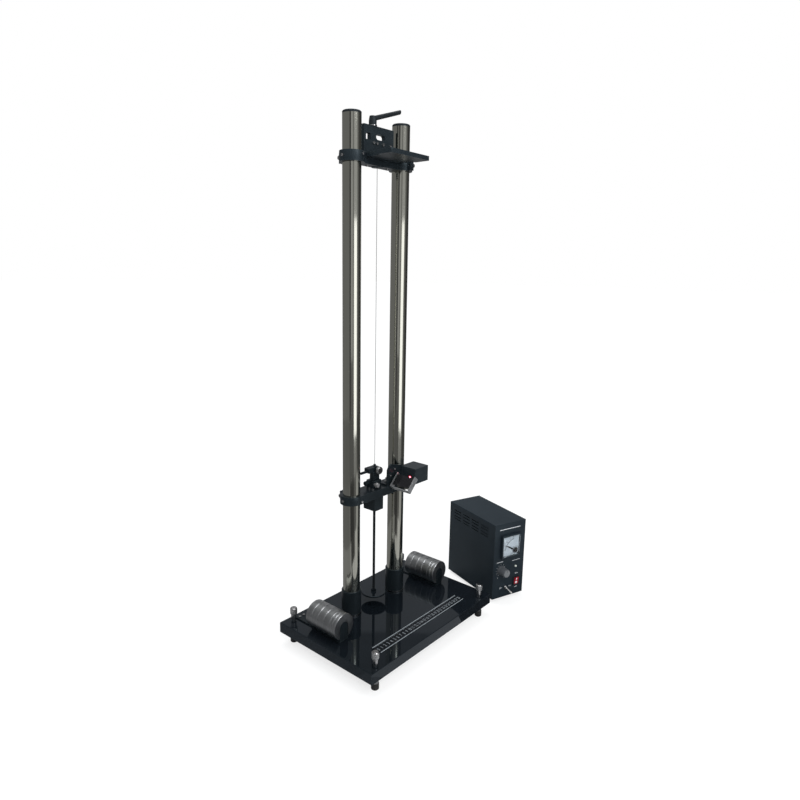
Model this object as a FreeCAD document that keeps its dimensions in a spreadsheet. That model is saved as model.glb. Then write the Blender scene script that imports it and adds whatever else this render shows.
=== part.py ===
import FreeCAD, Part
import math
import os
import re
import Sketcher
from FreeCAD import Placement, Rotation, Vector

# Wire-stretching apparatus: a twin-column stand on a levelled base plate, with its slotted weights
# and a separate laser supply box. X runs along the base, +Y to the columns' side, +Z up.
# The origin is the centre of the base plate's underside. All lengths are millimetres.

SIZES = {
    # base plate and its feet
    "base_length": 418,
    "base_width": 276,
    "base_thick": 23.5,
    "base_bevel": 1.2,
    "foot_height": 28,
    "foot_inset_x": 26.5,
    "foot_inset_y": 15.5,
    "stud_radius": 4,
    "collar_radius": 7.3,
    "collar_height": 13.5,
    "pad_radius": 8.1,
    "pad_socket_depth": 9,
    "grip_radius": 7.5,
    "grip_height": 15,
    "grip_crown": 1.5,
    "neck_radius": 6,
    "neck_height": 10,
    "neck_lift": 5,
    # clearances
    "shaft_gap": 0.05,
    "seat_gap": 0.3,
    # columns
    "post_spacing": 147,
    "post_back": 52,
    "post_radius": 19,
    "post_wall": 1.5,
    "post_length": 1056,
    "post_plug_height": 30,
    "cap_height": 5,
    "cap_plug_depth": 14,
    "cap_bevel": 1.5,
    "socket_wall": 3,
    "socket_height": 58,
    "socket_bevel": 1,
    "ring_height": 4,
    "ring_overhang": 0.6,
    "bolt_radius": 5,
    "bolt_grip": 20,
    "bolt_head_radius": 8,
    "bolt_head_height": 10,
    "bolt_recess": 11,
    # engraved strip on the base
    "strip_length": 290,
    "strip_width": 25.7,
    "strip_thick": 0.6,
    "strip_edge": 33.8,
    # slotted weights and their rails
    "rail_inset": 45,
    "rail_width": 22,
    "rail_tab_length": 53,
    "rail_tab_thick": 3,
    "rail_tab_screw": 45,
    "weight_front": -16.5,
    "weight_radius": 28,
    "weight_axis": 31,
    "weight_slot": 25,
    "weight_slot_top": 42.6,
    "weight_bevel": 1.2,
    "large_weight_thick": 17.7,
    "small_weight_thick": 8.5,
    "weight_gap": 0.1,
    # clamped cross beams
    "clamp_wall": 6,
    "ear_inset": 2.25,
    "ear_width": 9.5,
    "ear_reach": 34,
    "slit_width": 2,
    "clamp_screw_radius": 2.5,
    "clamp_head_radius": 4.2,
    "clamp_head_height": 4.5,
    "clamp_screw_offset": 29.5,
    "wall_screw_x": 67.4,
    "wall_screw_depth": 4.5,
    "side_seat": 0.3,
    "front_seat": 1.7,
    "upper_height": 967,
    "upper_thick": 20.5,
    "upper_depth": 25,
    "lower_height": 262,
    "lower_thick": 19,
    "lower_front": 24.8,
    "lower_back": 17,
    # upper shelf and head plate
    "shelf_thick": 8.5,
    "shelf_front": 38.5,
    "shelf_step": 53,
    "shelf_half_front": 58,
    "shelf_half_back": 49,
    "shelf_round": 3,
    "shelf_screw_spacing": 60,
    "shelf_screw_entry": 10,
    "head_width": 88,
    "head_height": 56,
    "head_thick": 10,
    "head_screw_spacing": 60,
    "head_screw_entry": 12,
    "head_set_lift": 23.5,
    "head_set_first": -17,
    "head_set_second": -7,
    "head_set_third": 11,
    "head_set_fourth": 33,
    "window_width": 14,
    "window_height": 12.5,
    "window_offset": -31.7,
    "window_lift": 34.3,
    "obround_length": 27.5,
    "obround_height": 10.6,
    "obround_offset": 4.8,
    "obround_lift": 36.3,
    # clamping lever
    "lever_offset": -14.4,
    "washer_radius": 9,
    "washer_thick": 1.5,
    "lever_stud_radius": 4,
    "lever_stud_depth": 16,
    "hub_radius": 8,
    "hub_top_radius": 6.5,
    "hub_height": 19,
    "lever_reach": 82,
    "lever_rise": 27,
    "lever_width": 9,
    "lever_root": 10,
    "lever_tip": 9,
    # wire, chucks and load rod
    "wire_radius": 0.5,
    "chuck_radius": 12,
    "chuck_drop": 2,
    "chuck_shank_radius": 5,
    "chuck_nose_radius": 3,
    "clamp_top": 328.5,
    "collet_height": 4,
    "collet_radius": 3,
    "clamp_cap_height": 11,
    "clamp_cap_left": 26,
    "clamp_cap_right": 6,
    "clamp_cap_depth": 14,
    "clamp_body_height": 5.5,
    "clamp_body_left": 13,
    "clamp_body_right": 11,
    "clamp_body_depth": 17,
    "thumb_radius": 8.5,
    "thumb_length": 8,
    "thumb_offset": 0,
    "thumb_lift": 3.5,
    "thumb_stem_radius": 2.5,
    "thumb_lead": 3,
    "side_grip_radius": 3,
    "side_grip_length": 17,
    "side_lead": 2,
    "side_lift": 3.2,
    "side_stem_radius": 1.5,
    "rod_radius": 3,
    "rod_entry": 5,
    "pan_radius": 29,
    "pan_thick": 4,
    "pan_height": 19.4,
    "pan_boss_radius": 6,
    "pan_boss_height": 6,
    # guide under and on the lower beam
    "guide_left": 20,
    "guide_right": 8,
    "guide_front": 20,
    "guide_back": 15,
    "guide_drop": 32,
    "bush_radius": 6,
    "bush_lip": 1,
    "block_left": 16,
    "block_right": 9,
    "block_front": 12,
    "block_back": 10,
    "block_height": 17,
    "block_neck_width": 17,
    "block_neck_depth": 14,
    "block_neck_height": 28.6,
    "beam_screw_left": 21.5,
    "beam_screw_near": 15,
    "beam_screw_far": 4,
    "lock_grip_radius": 5,
    "lock_grip_length": 13,
    "lock_height": 12.5,
    "lock_offset": 1.5,
    "fine_grip_radius": 5.5,
    "fine_grip_length": 9,
    "fine_offset": -12,
    "fine_height": 9.5,
    "knob_stem_radius": 2,
    "knob_stem_depth": 8,
    "knob_lead": 1.5,
    # tilting mirror and its stirrup
    "arm_left": 16,
    "arm_thick": 3.6,
    "arm_height": 50,
    "arm_shoulder": 40.5,
    "arm_foot_left": 18,
    "arm_foot_width": 22,
    "arm_foot_depth": 17.2,
    "arm_foot_thick": 4,
    "arm_foot_screw": 30,
    "arm_foot_screw_in": 7,
    "arm_boss_radius": 4.6,
    "stirrup_x": 18,
    "stirrup_drop": 2.5,
    "stirrup_tilt": 47,
    "stirrup_front": -31,
    "stirrup_span": 53,
    "stirrup_reach": 37.5,
    "stirrup_width": 13,
    "sheet_thick": 1.5,
    "mirror_start": 8,
    "mirror_height": 26,
    "mirror_side_gap": 0.8,
    "mirror_thick": 8,
    "mirror_glass_thick": 2,
    "pivot_reach": 21,
    "pivot_radius": 1.5,
    # laser head
    "laser_left": 66,
    "laser_front": -13,
    "laser_length": 46.5,
    "laser_width": 44,
    "laser_height": 36,
    "bracket_thick": 2,
    "bracket_left": 62,
    "bracket_length": 46,
    "bracket_front": -8,
    "bracket_back": 38,
    "bracket_tail_left": 42.5,
    "bracket_tail_length": 30,
    "bracket_screw": 47,
    "bracket_screw_near": 10,
    "bracket_screw_far": 2,
    "nozzle_radius": 5,
    "nozzle_length": 3,
    "nozzle_bore": 1.6,
    "nozzle_y": 0,
    "nozzle_lift": 15,
    # small cap screws
    "screw_radius": 1.5,
    "screw_head_radius": 2.8,
    "screw_head_height": 2.5,
    "screw_depth": 7,
    # supply box
    "box_x": 255,
    "box_y": -115.9,
    "box_turn": -19.2,
    "box_width": 97,
    "box_depth": 192,
    "box_height": 197,
    "box_foot": 8,
    "box_foot_radius": 7,
    "box_foot_inset": 18,
    "box_sheet": 1.2,
    "fold_radius": 1.8,
    "panel_thick": 2,
    "slot_first": 27,
    "slot_length": 30,
    "slot_pitch": 38.6,
    "slot_width": 2.6,
    "slot_step": 7,
    "slot_upper": 171.5,
    "slot_lower": 155.5,
    "meter_x": 49.5,
    "meter_z": 136.7,
    "meter_side": 60,
    "meter_proud": 7,
    "meter_face_side": 52,
    "meter_recess": 4.5,
    "meter_can_radius": 23,
    "meter_can_depth": 28,
    "window_thick": 1.2,
    "needle_x": 13.5,
    "needle_z": -14,
    "needle_length": 36,
    "needle_thick": 0.6,
    "needle_angle": 151,
    "needle_root": 1,
    "needle_tip": 0.35,
    "needle_hub_radius": 3,
    "knob_x": 24,
    "knob_z": 75,
    "knob_skirt_radius": 12,
    "knob_face_radius": 10,
    "knob_length": 24,
    "knob_shaft_radius": 3,
    "lamp_x": 71,
    "lamp_z": 76,
    "lamp_radius": 2.5,
    "lamp_proud": 3,
    "rocker_x": 74.5,
    "rocker_z": 35.5,
    "rocker_width": 15,
    "rocker_height": 19,
    "bezel_rim": 2,
    "bezel_proud": 2,
    "sleeve_wall": 0.9,
    "sleeve_depth": 16,
    "rocker_gap": 0.9,
    "rocker_side_gap": 0.8,
    "rocker_heel": 6,
    "rocker_lift": 3.2,
    "rocker_pivot": 1,
    "rocker_pin_radius": 0.9,
    "toggle_x": 40.5,
    "toggle_z": 25,
    "toggle_radius": 3,
    "toggle_bore": 2.25,
    "toggle_nut_radius": 5,
    "toggle_nut_proud": 6,
    "toggle_body": 10,
    "toggle_length": 20,
    "toggle_pivot": 1.4,
    "toggle_lean": 12,
    "tip_round": 0.6,
    # rear of the supply box and what it holds
    "inlet_width": 27,
    "inlet_height": 20,
    "inlet_lift": 30,
    "inlet_wall": 1.9,
    "inlet_depth": 20,
    "inlet_well": 14,
    "inlet_flange": 2,
    "blade_length": 14,
    "blade_thick": 2,
    "blade_height": 4,
    "core_width": 52,
    "core_depth": 60,
    "core_height": 50,
    "core_clear": 10,
    "coil_width": 64,
    "coil_depth": 40,
    "coil_height": 38,
}

# Directions that a turned piece or a cylinder can point, as the turn from straight up.
UP = "up"
DOWN = "down"
TO_RIGHT = "to the right"
TO_LEFT = "to the left"
TO_BACK = "to the back"
TO_FRONT = "to the front"
TURNS = {
    UP: Rotation(),
    DOWN: Rotation(Vector(1, 0, 0), 180),
    TO_RIGHT: Rotation(Vector(0, 1, 0), 90),
    TO_LEFT: Rotation(Vector(0, 1, 0), -90),
    TO_BACK: Rotation(Vector(1, 0, 0), -90),
    TO_FRONT: Rotation(Vector(1, 0, 0), 90),
}

OPPOSITE = {
    UP: DOWN,
    DOWN: UP,
    TO_RIGHT: TO_LEFT,
    TO_LEFT: TO_RIGHT,
    TO_BACK: TO_FRONT,
    TO_FRONT: TO_BACK,
}

doc = FreeCAD.newDocument("wire_stretching_apparatus")
sheet = doc.addObject("Spreadsheet::Sheet", "Sizes")
for row, (alias, size) in enumerate(SIZES.items(), start=1):
    sheet.set(f"A{row}", alias)
    sheet.set(f"B{row}", str(size))
    sheet.setAlias(f"B{row}", alias)
doc.recompute()

nodes = []


def on_sheet(text):
    """An expression with every named size read from the sheet."""
    return re.sub(
        r"[a-z_]+", lambda word: "Sizes." + word[0] if word[0] in SIZES else word[0], str(text)
    )


def bind(item, prop, text):
    item.setExpression(prop, on_sheet(text))


def put(item, at, turn=UP):
    item.Placement = Placement(Vector(), TURNS[turn] if isinstance(turn, str) else turn)
    for axis, text in zip("xyz", at):
        bind(item, f"Placement.Base.{axis}", text)
    return item


def block(size, corner, turn=UP):
    item = doc.addObject("Part::Box", "Block")
    for prop, text in zip(("Length", "Width", "Height"), size):
        bind(item, prop, text)
    return put(item, corner, turn)


def rod(radius, length, start, turn=UP):
    item = doc.addObject("Part::Cylinder", "Rod")
    bind(item, "Radius", radius)
    bind(item, "Height", length)
    return put(item, start, turn)


def joined(*pieces):
    item = doc.addObject("Part::MultiFuse", "Joined")
    item.Shapes = list(pieces)
    item.Refine = True
    return item


def without(base, *tools):
    item = doc.addObject("Part::Cut", "Without")
    item.Base = base
    item.Tool = tools[0] if len(tools) == 1 else joined(*tools)
    item.Refine = True
    return item


def group(*pieces):
    item = doc.addObject("Part::Compound", "Group")
    item.Links = list(pieces)
    return item


def node(name, item):
    item.Label = name
    nodes.append(item)
    return item


def sketch_of(body, plane, corners):
    """A closed outline whose corners are bound to the sheet."""
    sketch = body.newObject("Sketcher::SketchObject", "Outline")
    support = [f for f in body.Origin.OriginFeatures if f.Role == plane][0]
    sketch.AttachmentSupport = [(support, "")]
    sketch.MapMode = "FlatFace"
    count = len(corners)
    ring = [Vector(math.cos(math.tau * i / count), math.sin(math.tau * i / count), 0) for i in range(count)]
    for i in range(count):
        sketch.addGeometry(Part.LineSegment(ring[i], ring[(i + 1) % count]))
    for i in range(count):
        sketch.addConstraint(Sketcher.Constraint("Coincident", i, 2, (i + 1) % count, 1))
    for i, corner in enumerate(corners):
        for kind, text in zip(("DistanceX", "DistanceY"), corner):
            index = sketch.addConstraint(Sketcher.Constraint(kind, -1, 1, i, 1, 1.0))
            bind(sketch, f"Constraints[{index}]", text)
    return sketch


def extruded(plane, corners, length, at=("0", "0", "0"), turn=UP):
    """An outline on one of the body's planes, padded along the plane's normal."""
    body = doc.addObject("PartDesign::Body", "Extruded")
    pad = body.newObject("PartDesign::Pad", "Pad")
    pad.Profile = sketch_of(body, plane, corners)
    bind(pad, "Length", length)
    body.Tip = pad
    return put(body, at, turn)


def turned(profile, at=("0", "0", "0"), turn=UP):
    """A half section (radius, height) turned about its own axis."""
    body = doc.addObject("PartDesign::Body", "Turned")
    spin = body.newObject("PartDesign::Revolution", "Revolution")
    spin.Profile = sketch_of(body, "XZ_Plane", profile)
    spin.ReferenceAxis = (spin.Profile[0], ["V_Axis"])
    spin.Angle = 360
    body.Tip = spin
    return put(body, at, turn)


def eased(body, kind, prop, size, picked):
    """Fillets or chamfers the edges of the body's last feature that `picked` accepts."""
    doc.recompute()
    base = body.Tip
    edges = [f"Edge{i}" for i, edge in enumerate(base.Shape.Edges, start=1) if picked(edge)]
    item = body.newObject(f"PartDesign::{kind}", kind)
    item.Base = (base, edges)
    bind(item, prop, size)
    body.Tip = item
    return body


def is_upright(edge):
    first, last = edge.Vertexes[0].Point, edge.Vertexes[-1].Point
    return (last - first).Length > 0.1 and abs((last - first).normalize().z) > 0.99


def cap_screw(radius, head_radius, head_height, length, at, turn=UP):
    """A socket-head screw: its head's underside is at `at`, its shank runs the other way."""
    profile = [
        ("0", f"-({length})"),
        (radius, f"-({length})"),
        (radius, "0"),
        (head_radius, "0"),
        (head_radius, head_height),
        (f"({head_radius}) * 0.5", head_height),
        (f"({head_radius}) * 0.5", f"({head_height}) * 0.5"),
        ("0", f"({head_height}) * 0.5"),
    ]
    return turned(profile, at, turn)


def small_screw(at, turn=UP, depth="screw_depth"):
    return cap_screw("screw_radius", "screw_head_radius", "screw_head_height", depth, at, turn)


def hole(radius, length, at, turn=UP):
    """A hole that runs inwards from `at`, against the direction that `turn` points."""
    return rod(f"{radius} + shaft_gap", length, at, OPPOSITE[turn])


def knob(radius, length, lead, stem_radius, stem_depth, at, turn):
    """A plain round grip with bevelled rims, standing off by `lead` on its own stem."""
    edge = f"({radius}) * 0.12"
    profile = [
        ("0", f"-({stem_depth})"),
        (stem_radius, f"-({stem_depth})"),
        (stem_radius, lead),
        (f"{radius} - {edge}", lead),
        (radius, f"{lead} + {edge}"),
        (radius, f"{lead} + {length} - {edge}"),
        (f"{radius} - {edge}", f"{lead} + {length}"),
        ("0", f"{lead} + {length}"),
    ]
    return turned(profile, at, turn)


SIDES = {"left": "-", "right": ""}
ENDS = {"front": "-", "back": ""}
POST_X = {side: f"{sign}post_spacing / 2" for side, sign in SIDES.items()}
RAIL_X = {side: f"{sign}(base_length / 2 - rail_inset)" for side, sign in SIDES.items()}
EAR_X = {side: f"{sign}(post_spacing / 2 - ear_inset)" for side, sign in SIDES.items()}
OUTWARDS = {"left": TO_LEFT, "right": TO_RIGHT}
FOOT_SPOTS = {
    f"{end}_{side}": (
        f"{SIDES[side]}(base_length / 2 - foot_inset_x)",
        f"{ENDS[end]}(base_width / 2 - foot_inset_y)",
    )
    for end in ENDS
    for side in SIDES
}
LEVER_SPOT = ("lever_offset", "post_back")
SMALL_COUNT, LARGE_COUNT = 2, 4
LARGE_START = f"weight_front + {SMALL_COUNT} * (small_weight_thick + weight_gap)"
WEIGHT_BACK = f"{LARGE_START} + {LARGE_COUNT} * (large_weight_thick + weight_gap)"
RING_RADIUS = "post_radius + clamp_wall"
HEAD_BOTTOM = "base_thick + upper_height + upper_thick"
HEAD_TOP = f"{HEAD_BOTTOM} + head_height"
UPPER_FRONT = "post_back - upper_depth / 2"
LOWER_TOP = "base_thick + lower_height + lower_thick"
LOWER_FRONT = "post_back - lower_front"
BRACKET_SCREW_Y = ("post_back - bracket_screw_near", "post_back + bracket_screw_far")
ARM_SCREW = ("arm_foot_screw", "post_back - arm_foot_screw_in", f"{LOWER_TOP} + arm_foot_thick")

screw_spots = []


def screwed(x, y, z, turn=UP, depth="screw_depth"):
    """Notes one small screw and gives the hole that it needs."""
    screw_spots.append(((x, y, z), turn, depth))
    return hole("screw_radius", f"{depth} + shaft_gap", (x, y, z), turn)


def wall_screwed(x, y, z, turn):
    """A short screw into a clamp ring's wall: its hole, and the flat seat under its head."""
    seat = rod("screw_head_radius + shaft_gap", "screw_head_height", (x, y, z), turn)
    return [screwed(x, y, z, turn, "wall_screw_depth"), seat]


def base_plate():
    half_length, half_width = "base_length / 2", "base_width / 2"
    corners = [
        (f"-{half_length}", f"-{half_width}"),
        (half_length, f"-{half_width}"),
        (half_length, half_width),
        (f"-{half_length}", half_width),
    ]
    plate = extruded("XY_Plane", corners, "base_thick")
    top = SIZES["base_thick"]
    eased(plate, "Chamfer", "Size", "base_bevel", lambda e: e.CenterOfMass.z > top - 0.01)
    holes = [rod("stud_radius + shaft_gap", "base_thick", (x, y, "0")) for x, y in FOOT_SPOTS.values()]
    for x in POST_X.values():
        holes.append(rod("bolt_radius + shaft_gap", "base_thick", (x, "post_back", "0")))
        holes.append(rod("bolt_head_radius + seat_gap", "bolt_recess", (x, "post_back", "0")))
    for x in RAIL_X.values():
        for shift in ("-rail_width / 4", "rail_width / 4"):
            spot = (f"{x} + ({shift})", f"{WEIGHT_BACK} + rail_tab_screw", "base_thick + rail_tab_thick")
            holes.append(hole("screw_radius", "screw_depth + shaft_gap", spot))
    node("base_plate", without(plate, *holes))


def scale_strip():
    at = ("-strip_length / 2", "strip_edge - base_width / 2", "base_thick")
    node("scale_strip", block(("strip_length", "strip_width", "strip_thick"), at))


def feet():
    collars, pads = [], []
    for name, (x, y) in FOOT_SPOTS.items():
        collar = [
            ("stud_radius + shaft_gap", "-collar_height"),
            ("collar_radius", "-collar_height"),
            ("collar_radius", "0"),
            ("stud_radius + shaft_gap", "0"),
        ]
        collars.append(turned(collar, (x, y, "0")))
        pad_top = "-collar_height"
        pad = [
            ("0", "-foot_height"),
            ("pad_radius - 1.5", "-foot_height"),
            ("pad_radius", "-foot_height + 1.5"),
            ("pad_radius", f"{pad_top} - 1"),
            ("pad_radius - 1", pad_top),
            ("stud_radius + seat_gap", pad_top),
            ("stud_radius + seat_gap", f"{pad_top} - pad_socket_depth"),
            ("0", f"{pad_top} - pad_socket_depth"),
        ]
        pads.append(turned(pad, (x, y, "0")))
        stud_end = f"{pad_top} - pad_socket_depth + seat_gap"
        neck_bottom = "base_thick + neck_lift"
        grip_bottom = f"{neck_bottom} + neck_height"
        grip_top = f"{grip_bottom} + grip_height"
        screw = [
            ("0", stud_end),
            ("stud_radius", stud_end),
            ("stud_radius", neck_bottom),
            ("neck_radius", neck_bottom),
            ("neck_radius", grip_bottom),
            ("grip_radius - 0.8", grip_bottom),
            ("grip_radius", f"{grip_bottom} + 0.8"),
            ("grip_radius", f"{grip_top} - grip_crown"),
            ("grip_radius - grip_crown", grip_top),
            ("0", grip_top),
        ]
        node(f"levelling_screw_{name}", turned(screw, (x, y, "0")))
    node("foot_collars", group(*collars))
    node("foot_pads", group(*pads))


def columns():
    sockets, rings, caps, bolts = [], [], [], []
    for side, x in POST_X.items():
        at = (x, "post_back", "base_thick")
        bore = "post_radius - post_wall"
        post = [
            ("bolt_radius + shaft_gap", "0"),
            ("post_radius", "0"),
            ("post_radius", "post_length"),
            (bore, "post_length"),
            (bore, "post_plug_height"),
            ("bolt_radius + shaft_gap", "post_plug_height"),
        ]
        node(f"post_{side}", turned(post, at))
        inner, outer = "post_radius + shaft_gap", "post_radius + socket_wall"
        ring = [
            (inner, "0"),
            (f"{outer} + ring_overhang", "0"),
            (f"{outer} + ring_overhang", "ring_height"),
            (inner, "ring_height"),
        ]
        rings.append(turned(ring, at))
        socket = [
            (inner, "ring_height"),
            (outer, "ring_height"),
            (outer, "socket_height - socket_bevel"),
            (f"{outer} - socket_bevel", "socket_height"),
            (inner, "socket_height"),
        ]
        sockets.append(turned(socket, at))
        cap = [
            ("0", "-cap_plug_depth"),
            (f"{bore} - shaft_gap", "-cap_plug_depth"),
            (f"{bore} - shaft_gap", "0"),
            ("post_radius", "0"),
            ("post_radius", "cap_height - cap_bevel"),
            ("post_radius - cap_bevel", "cap_height"),
            ("0", "cap_height"),
        ]
        caps.append(turned(cap, (x, "post_back", "base_thick + post_length")))
        shank = "base_thick - bolt_recess + bolt_grip"
        size = ("bolt_radius", "bolt_head_radius", "bolt_head_height", shank)
        bolts.append(cap_screw(*size, (x, "post_back", "bolt_recess"), DOWN))
    node("post_sockets", group(*sockets))
    node("post_rings", group(*rings))
    node("post_caps", group(*caps))
    node("post_bolts", group(*bolts))


def beam(low, thick, front, back, *extra_holes):
    """A cross beam that grips both columns: two split rings, an ear on each and the bar between."""
    half, middle = "post_spacing / 2", f"{low} + {thick} / 2"
    bar = block(
        ("post_spacing", f"{front} + {back}", thick), (f"-{half}", f"post_back - {front}", low)
    )
    solids, cuts = [bar], list(extra_holes)
    for side, x in POST_X.items():
        solids.append(rod(RING_RADIUS, thick, (x, "post_back", low)))
        cuts.append(rod("post_radius + shaft_gap", thick, (x, "post_back", low)))
        ear_start = "post_back" if side == "left" else "post_back - ear_reach"
        for wide, pieces in (("ear_width", solids), ("slit_width", cuts)):
            corner = (f"{EAR_X[side]} - {wide} / 2", ear_start, low)
            pieces.append(block((wide, "ear_reach", thick), corner))
        drill = (f"{EAR_X[side]} + ear_width / 2", clamp_screw_y(side), middle)
        cuts.append(rod("clamp_screw_radius + shaft_gap", "ear_width", drill, TO_LEFT))
        outer_x = f"{x} {SIDES[side] or '+'} ({RING_RADIUS} - side_seat)"
        cuts += wall_screwed(outer_x, "post_back", middle, OUTWARDS[side])
    return without(joined(*solids), *cuts)


def clamp_screw_y(side):
    """The left ring's ear points to the back and the right one's to the front."""
    return f"post_back {'+' if side == 'left' else '-'} clamp_screw_offset"


def clamp_screws():
    screws = []
    for low, thick in (("upper_height", "upper_thick"), ("lower_height", "lower_thick")):
        for side, x in EAR_X.items():
            head_x = f"{x} {SIDES[side] or '+'} ear_width / 2"
            at = (head_x, clamp_screw_y(side), f"base_thick + {low} + {thick} / 2")
            size = ("clamp_screw_radius", "clamp_head_radius", "clamp_head_height", "ear_width - 1")
            screws.append(cap_screw(*size, at, OUTWARDS[side]))
    return screws


def upper_head():
    low = "base_thick + upper_height"
    chuck_hole = rod("chuck_shank_radius + shaft_gap", "upper_thick", ("0", "post_back", low))
    shelf_low = f"{low} + upper_thick - shelf_thick"
    deep = "upper_depth + shelf_screw_entry"
    screw_z = f"{shelf_low} + shelf_thick / 2"
    beam_holes, shelf_holes, head_holes, screws = [chuck_hole], [], [], []
    for sign in ("-", ""):
        x = f"{sign}shelf_screw_spacing / 2"
        start = (x, "post_back + upper_depth / 2", screw_z)
        beam_holes.append(rod("screw_radius + shaft_gap", deep, start, TO_FRONT))
        shelf_holes.append(rod("screw_radius + shaft_gap", deep, start, TO_FRONT))
        size = ("screw_radius", "screw_head_radius", "screw_head_height")
        screws.append(cap_screw(*size, f"{deep} - 1", start, TO_BACK))
        x = f"{sign}head_screw_spacing / 2"
        start = (x, "post_back", low)
        beam_holes.append(rod("screw_radius + shaft_gap", "upper_thick", start))
        head_holes.append(rod("screw_radius + shaft_gap", "upper_thick + head_screw_entry", start))
        screws.append(cap_screw(*size, "upper_thick + head_screw_entry - 1", start, DOWN))
    front_seat = f"post_back - ({RING_RADIUS} - front_seat)"
    beam_holes += wall_screwed("-wall_screw_x", front_seat, f"{low} + upper_thick * 0.7", TO_FRONT)
    node("upper_beam", beam(low, "upper_thick", "upper_depth / 2", "upper_depth / 2", *beam_holes))
    back = UPPER_FRONT
    outline = [
        ("-shelf_half_front", "-shelf_front"),
        ("shelf_half_front", "-shelf_front"),
        ("shelf_half_front", "post_back - shelf_step"),
        ("shelf_half_back", "post_back - shelf_step"),
        ("shelf_half_back", back),
        ("-shelf_half_back", back),
        ("-shelf_half_back", "post_back - shelf_step"),
        ("-shelf_half_front", "post_back - shelf_step"),
    ]
    shelf = extruded("XY_Plane", outline, "shelf_thick", ("0", "0", shelf_low))
    eased(shelf, "Fillet", "Radius", "shelf_round", lambda e: is_upright(e) and e.CenterOfMass.y < -5)
    node("upper_shelf", without(shelf, *shelf_holes))
    plate = block(
        ("head_width", "head_thick", "head_height"),
        ("-head_width / 2", "post_back - head_thick / 2", HEAD_BOTTOM),
    )
    window = block(
        ("window_width", "head_thick", "window_height"),
        (
            "window_offset - window_width / 2",
            "post_back - head_thick / 2",
            f"{HEAD_BOTTOM} + window_lift - window_height / 2",
        ),
    )
    straight = "obround_length - obround_height"
    slot_z = f"{HEAD_BOTTOM} + obround_lift"
    slot = [
        block(
            (straight, "head_thick", "obround_height"),
            (
                f"obround_offset - ({straight}) / 2",
                "post_back - head_thick / 2",
                f"{slot_z} - obround_height / 2",
            ),
        )
    ]
    for sign in ("-", "+"):
        at = (f"obround_offset {sign} ({straight}) / 2", "post_back - head_thick / 2", slot_z)
        slot.append(rod("obround_height / 2", "head_thick", at, TO_BACK))
    stud_hole = rod("lever_stud_radius + shaft_gap", "lever_stud_depth + 1", (*LEVER_SPOT, HEAD_TOP), DOWN)
    front_holes = [
        screwed(x, "post_back - head_thick / 2", f"{HEAD_BOTTOM} + head_set_lift", TO_FRONT)
        for x in ("head_set_first", "head_set_second", "head_set_third", "head_set_fourth")
    ]
    node("upper_plate", without(plate, window, *slot, stud_hole, *head_holes, *front_holes))
    ring = [
        ("lever_stud_radius + shaft_gap", "0"),
        ("washer_radius", "0"),
        ("washer_radius", "washer_thick"),
        ("lever_stud_radius + shaft_gap", "washer_thick"),
    ]
    washer = turned(ring, (*LEVER_SPOT, HEAD_TOP))
    node("beam_fasteners", group(washer, *screws, *clamp_screws()))
    chuck = [
        ("0", "-chuck_drop"),
        ("chuck_nose_radius", "-chuck_drop"),
        ("chuck_radius", "-chuck_drop / 2"),
        ("chuck_radius", "0"),
        ("chuck_shank_radius", "0"),
        ("chuck_shank_radius", "upper_thick - 2"),
        ("0", "upper_thick - 2"),
    ]
    node("upper_chuck", turned(chuck, ("0", "post_back", low)))


def clamp_lever():
    bottom = "washer_thick + seat_gap"
    hub = turned(
        [
            ("0", "-lever_stud_depth"),
            ("lever_stud_radius", "-lever_stud_depth"),
            ("lever_stud_radius", bottom),
            ("hub_radius", bottom),
            ("hub_radius", "hub_height * 0.55"),
            ("hub_top_radius", "hub_height"),
            ("0", "hub_height"),
        ]
    )
    root_low = "hub_height - lever_root"
    outline = [
        ("0", root_low),
        ("lever_reach", f"{root_low} + lever_rise + (lever_root - lever_tip) / 2"),
        ("lever_reach", "hub_height + lever_rise - (lever_root - lever_tip) / 2"),
        ("0", "hub_height"),
    ]
    arm = extruded("XZ_Plane", outline, "lever_width", ("0", "lever_width / 2", "0"))
    eased(arm, "Fillet", "Radius", "lever_tip * 0.4", lambda e: e.Length > 12)
    lever = joined(hub, arm)
    node("clamp_lever", put(lever, (*LEVER_SPOT, HEAD_TOP)))


def wire():
    low = "base_thick + clamp_top + collet_height"
    length = "upper_height - chuck_drop - clamp_top - collet_height"
    node("wire", rod("wire_radius", length, ("0", "post_back", low)))


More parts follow.
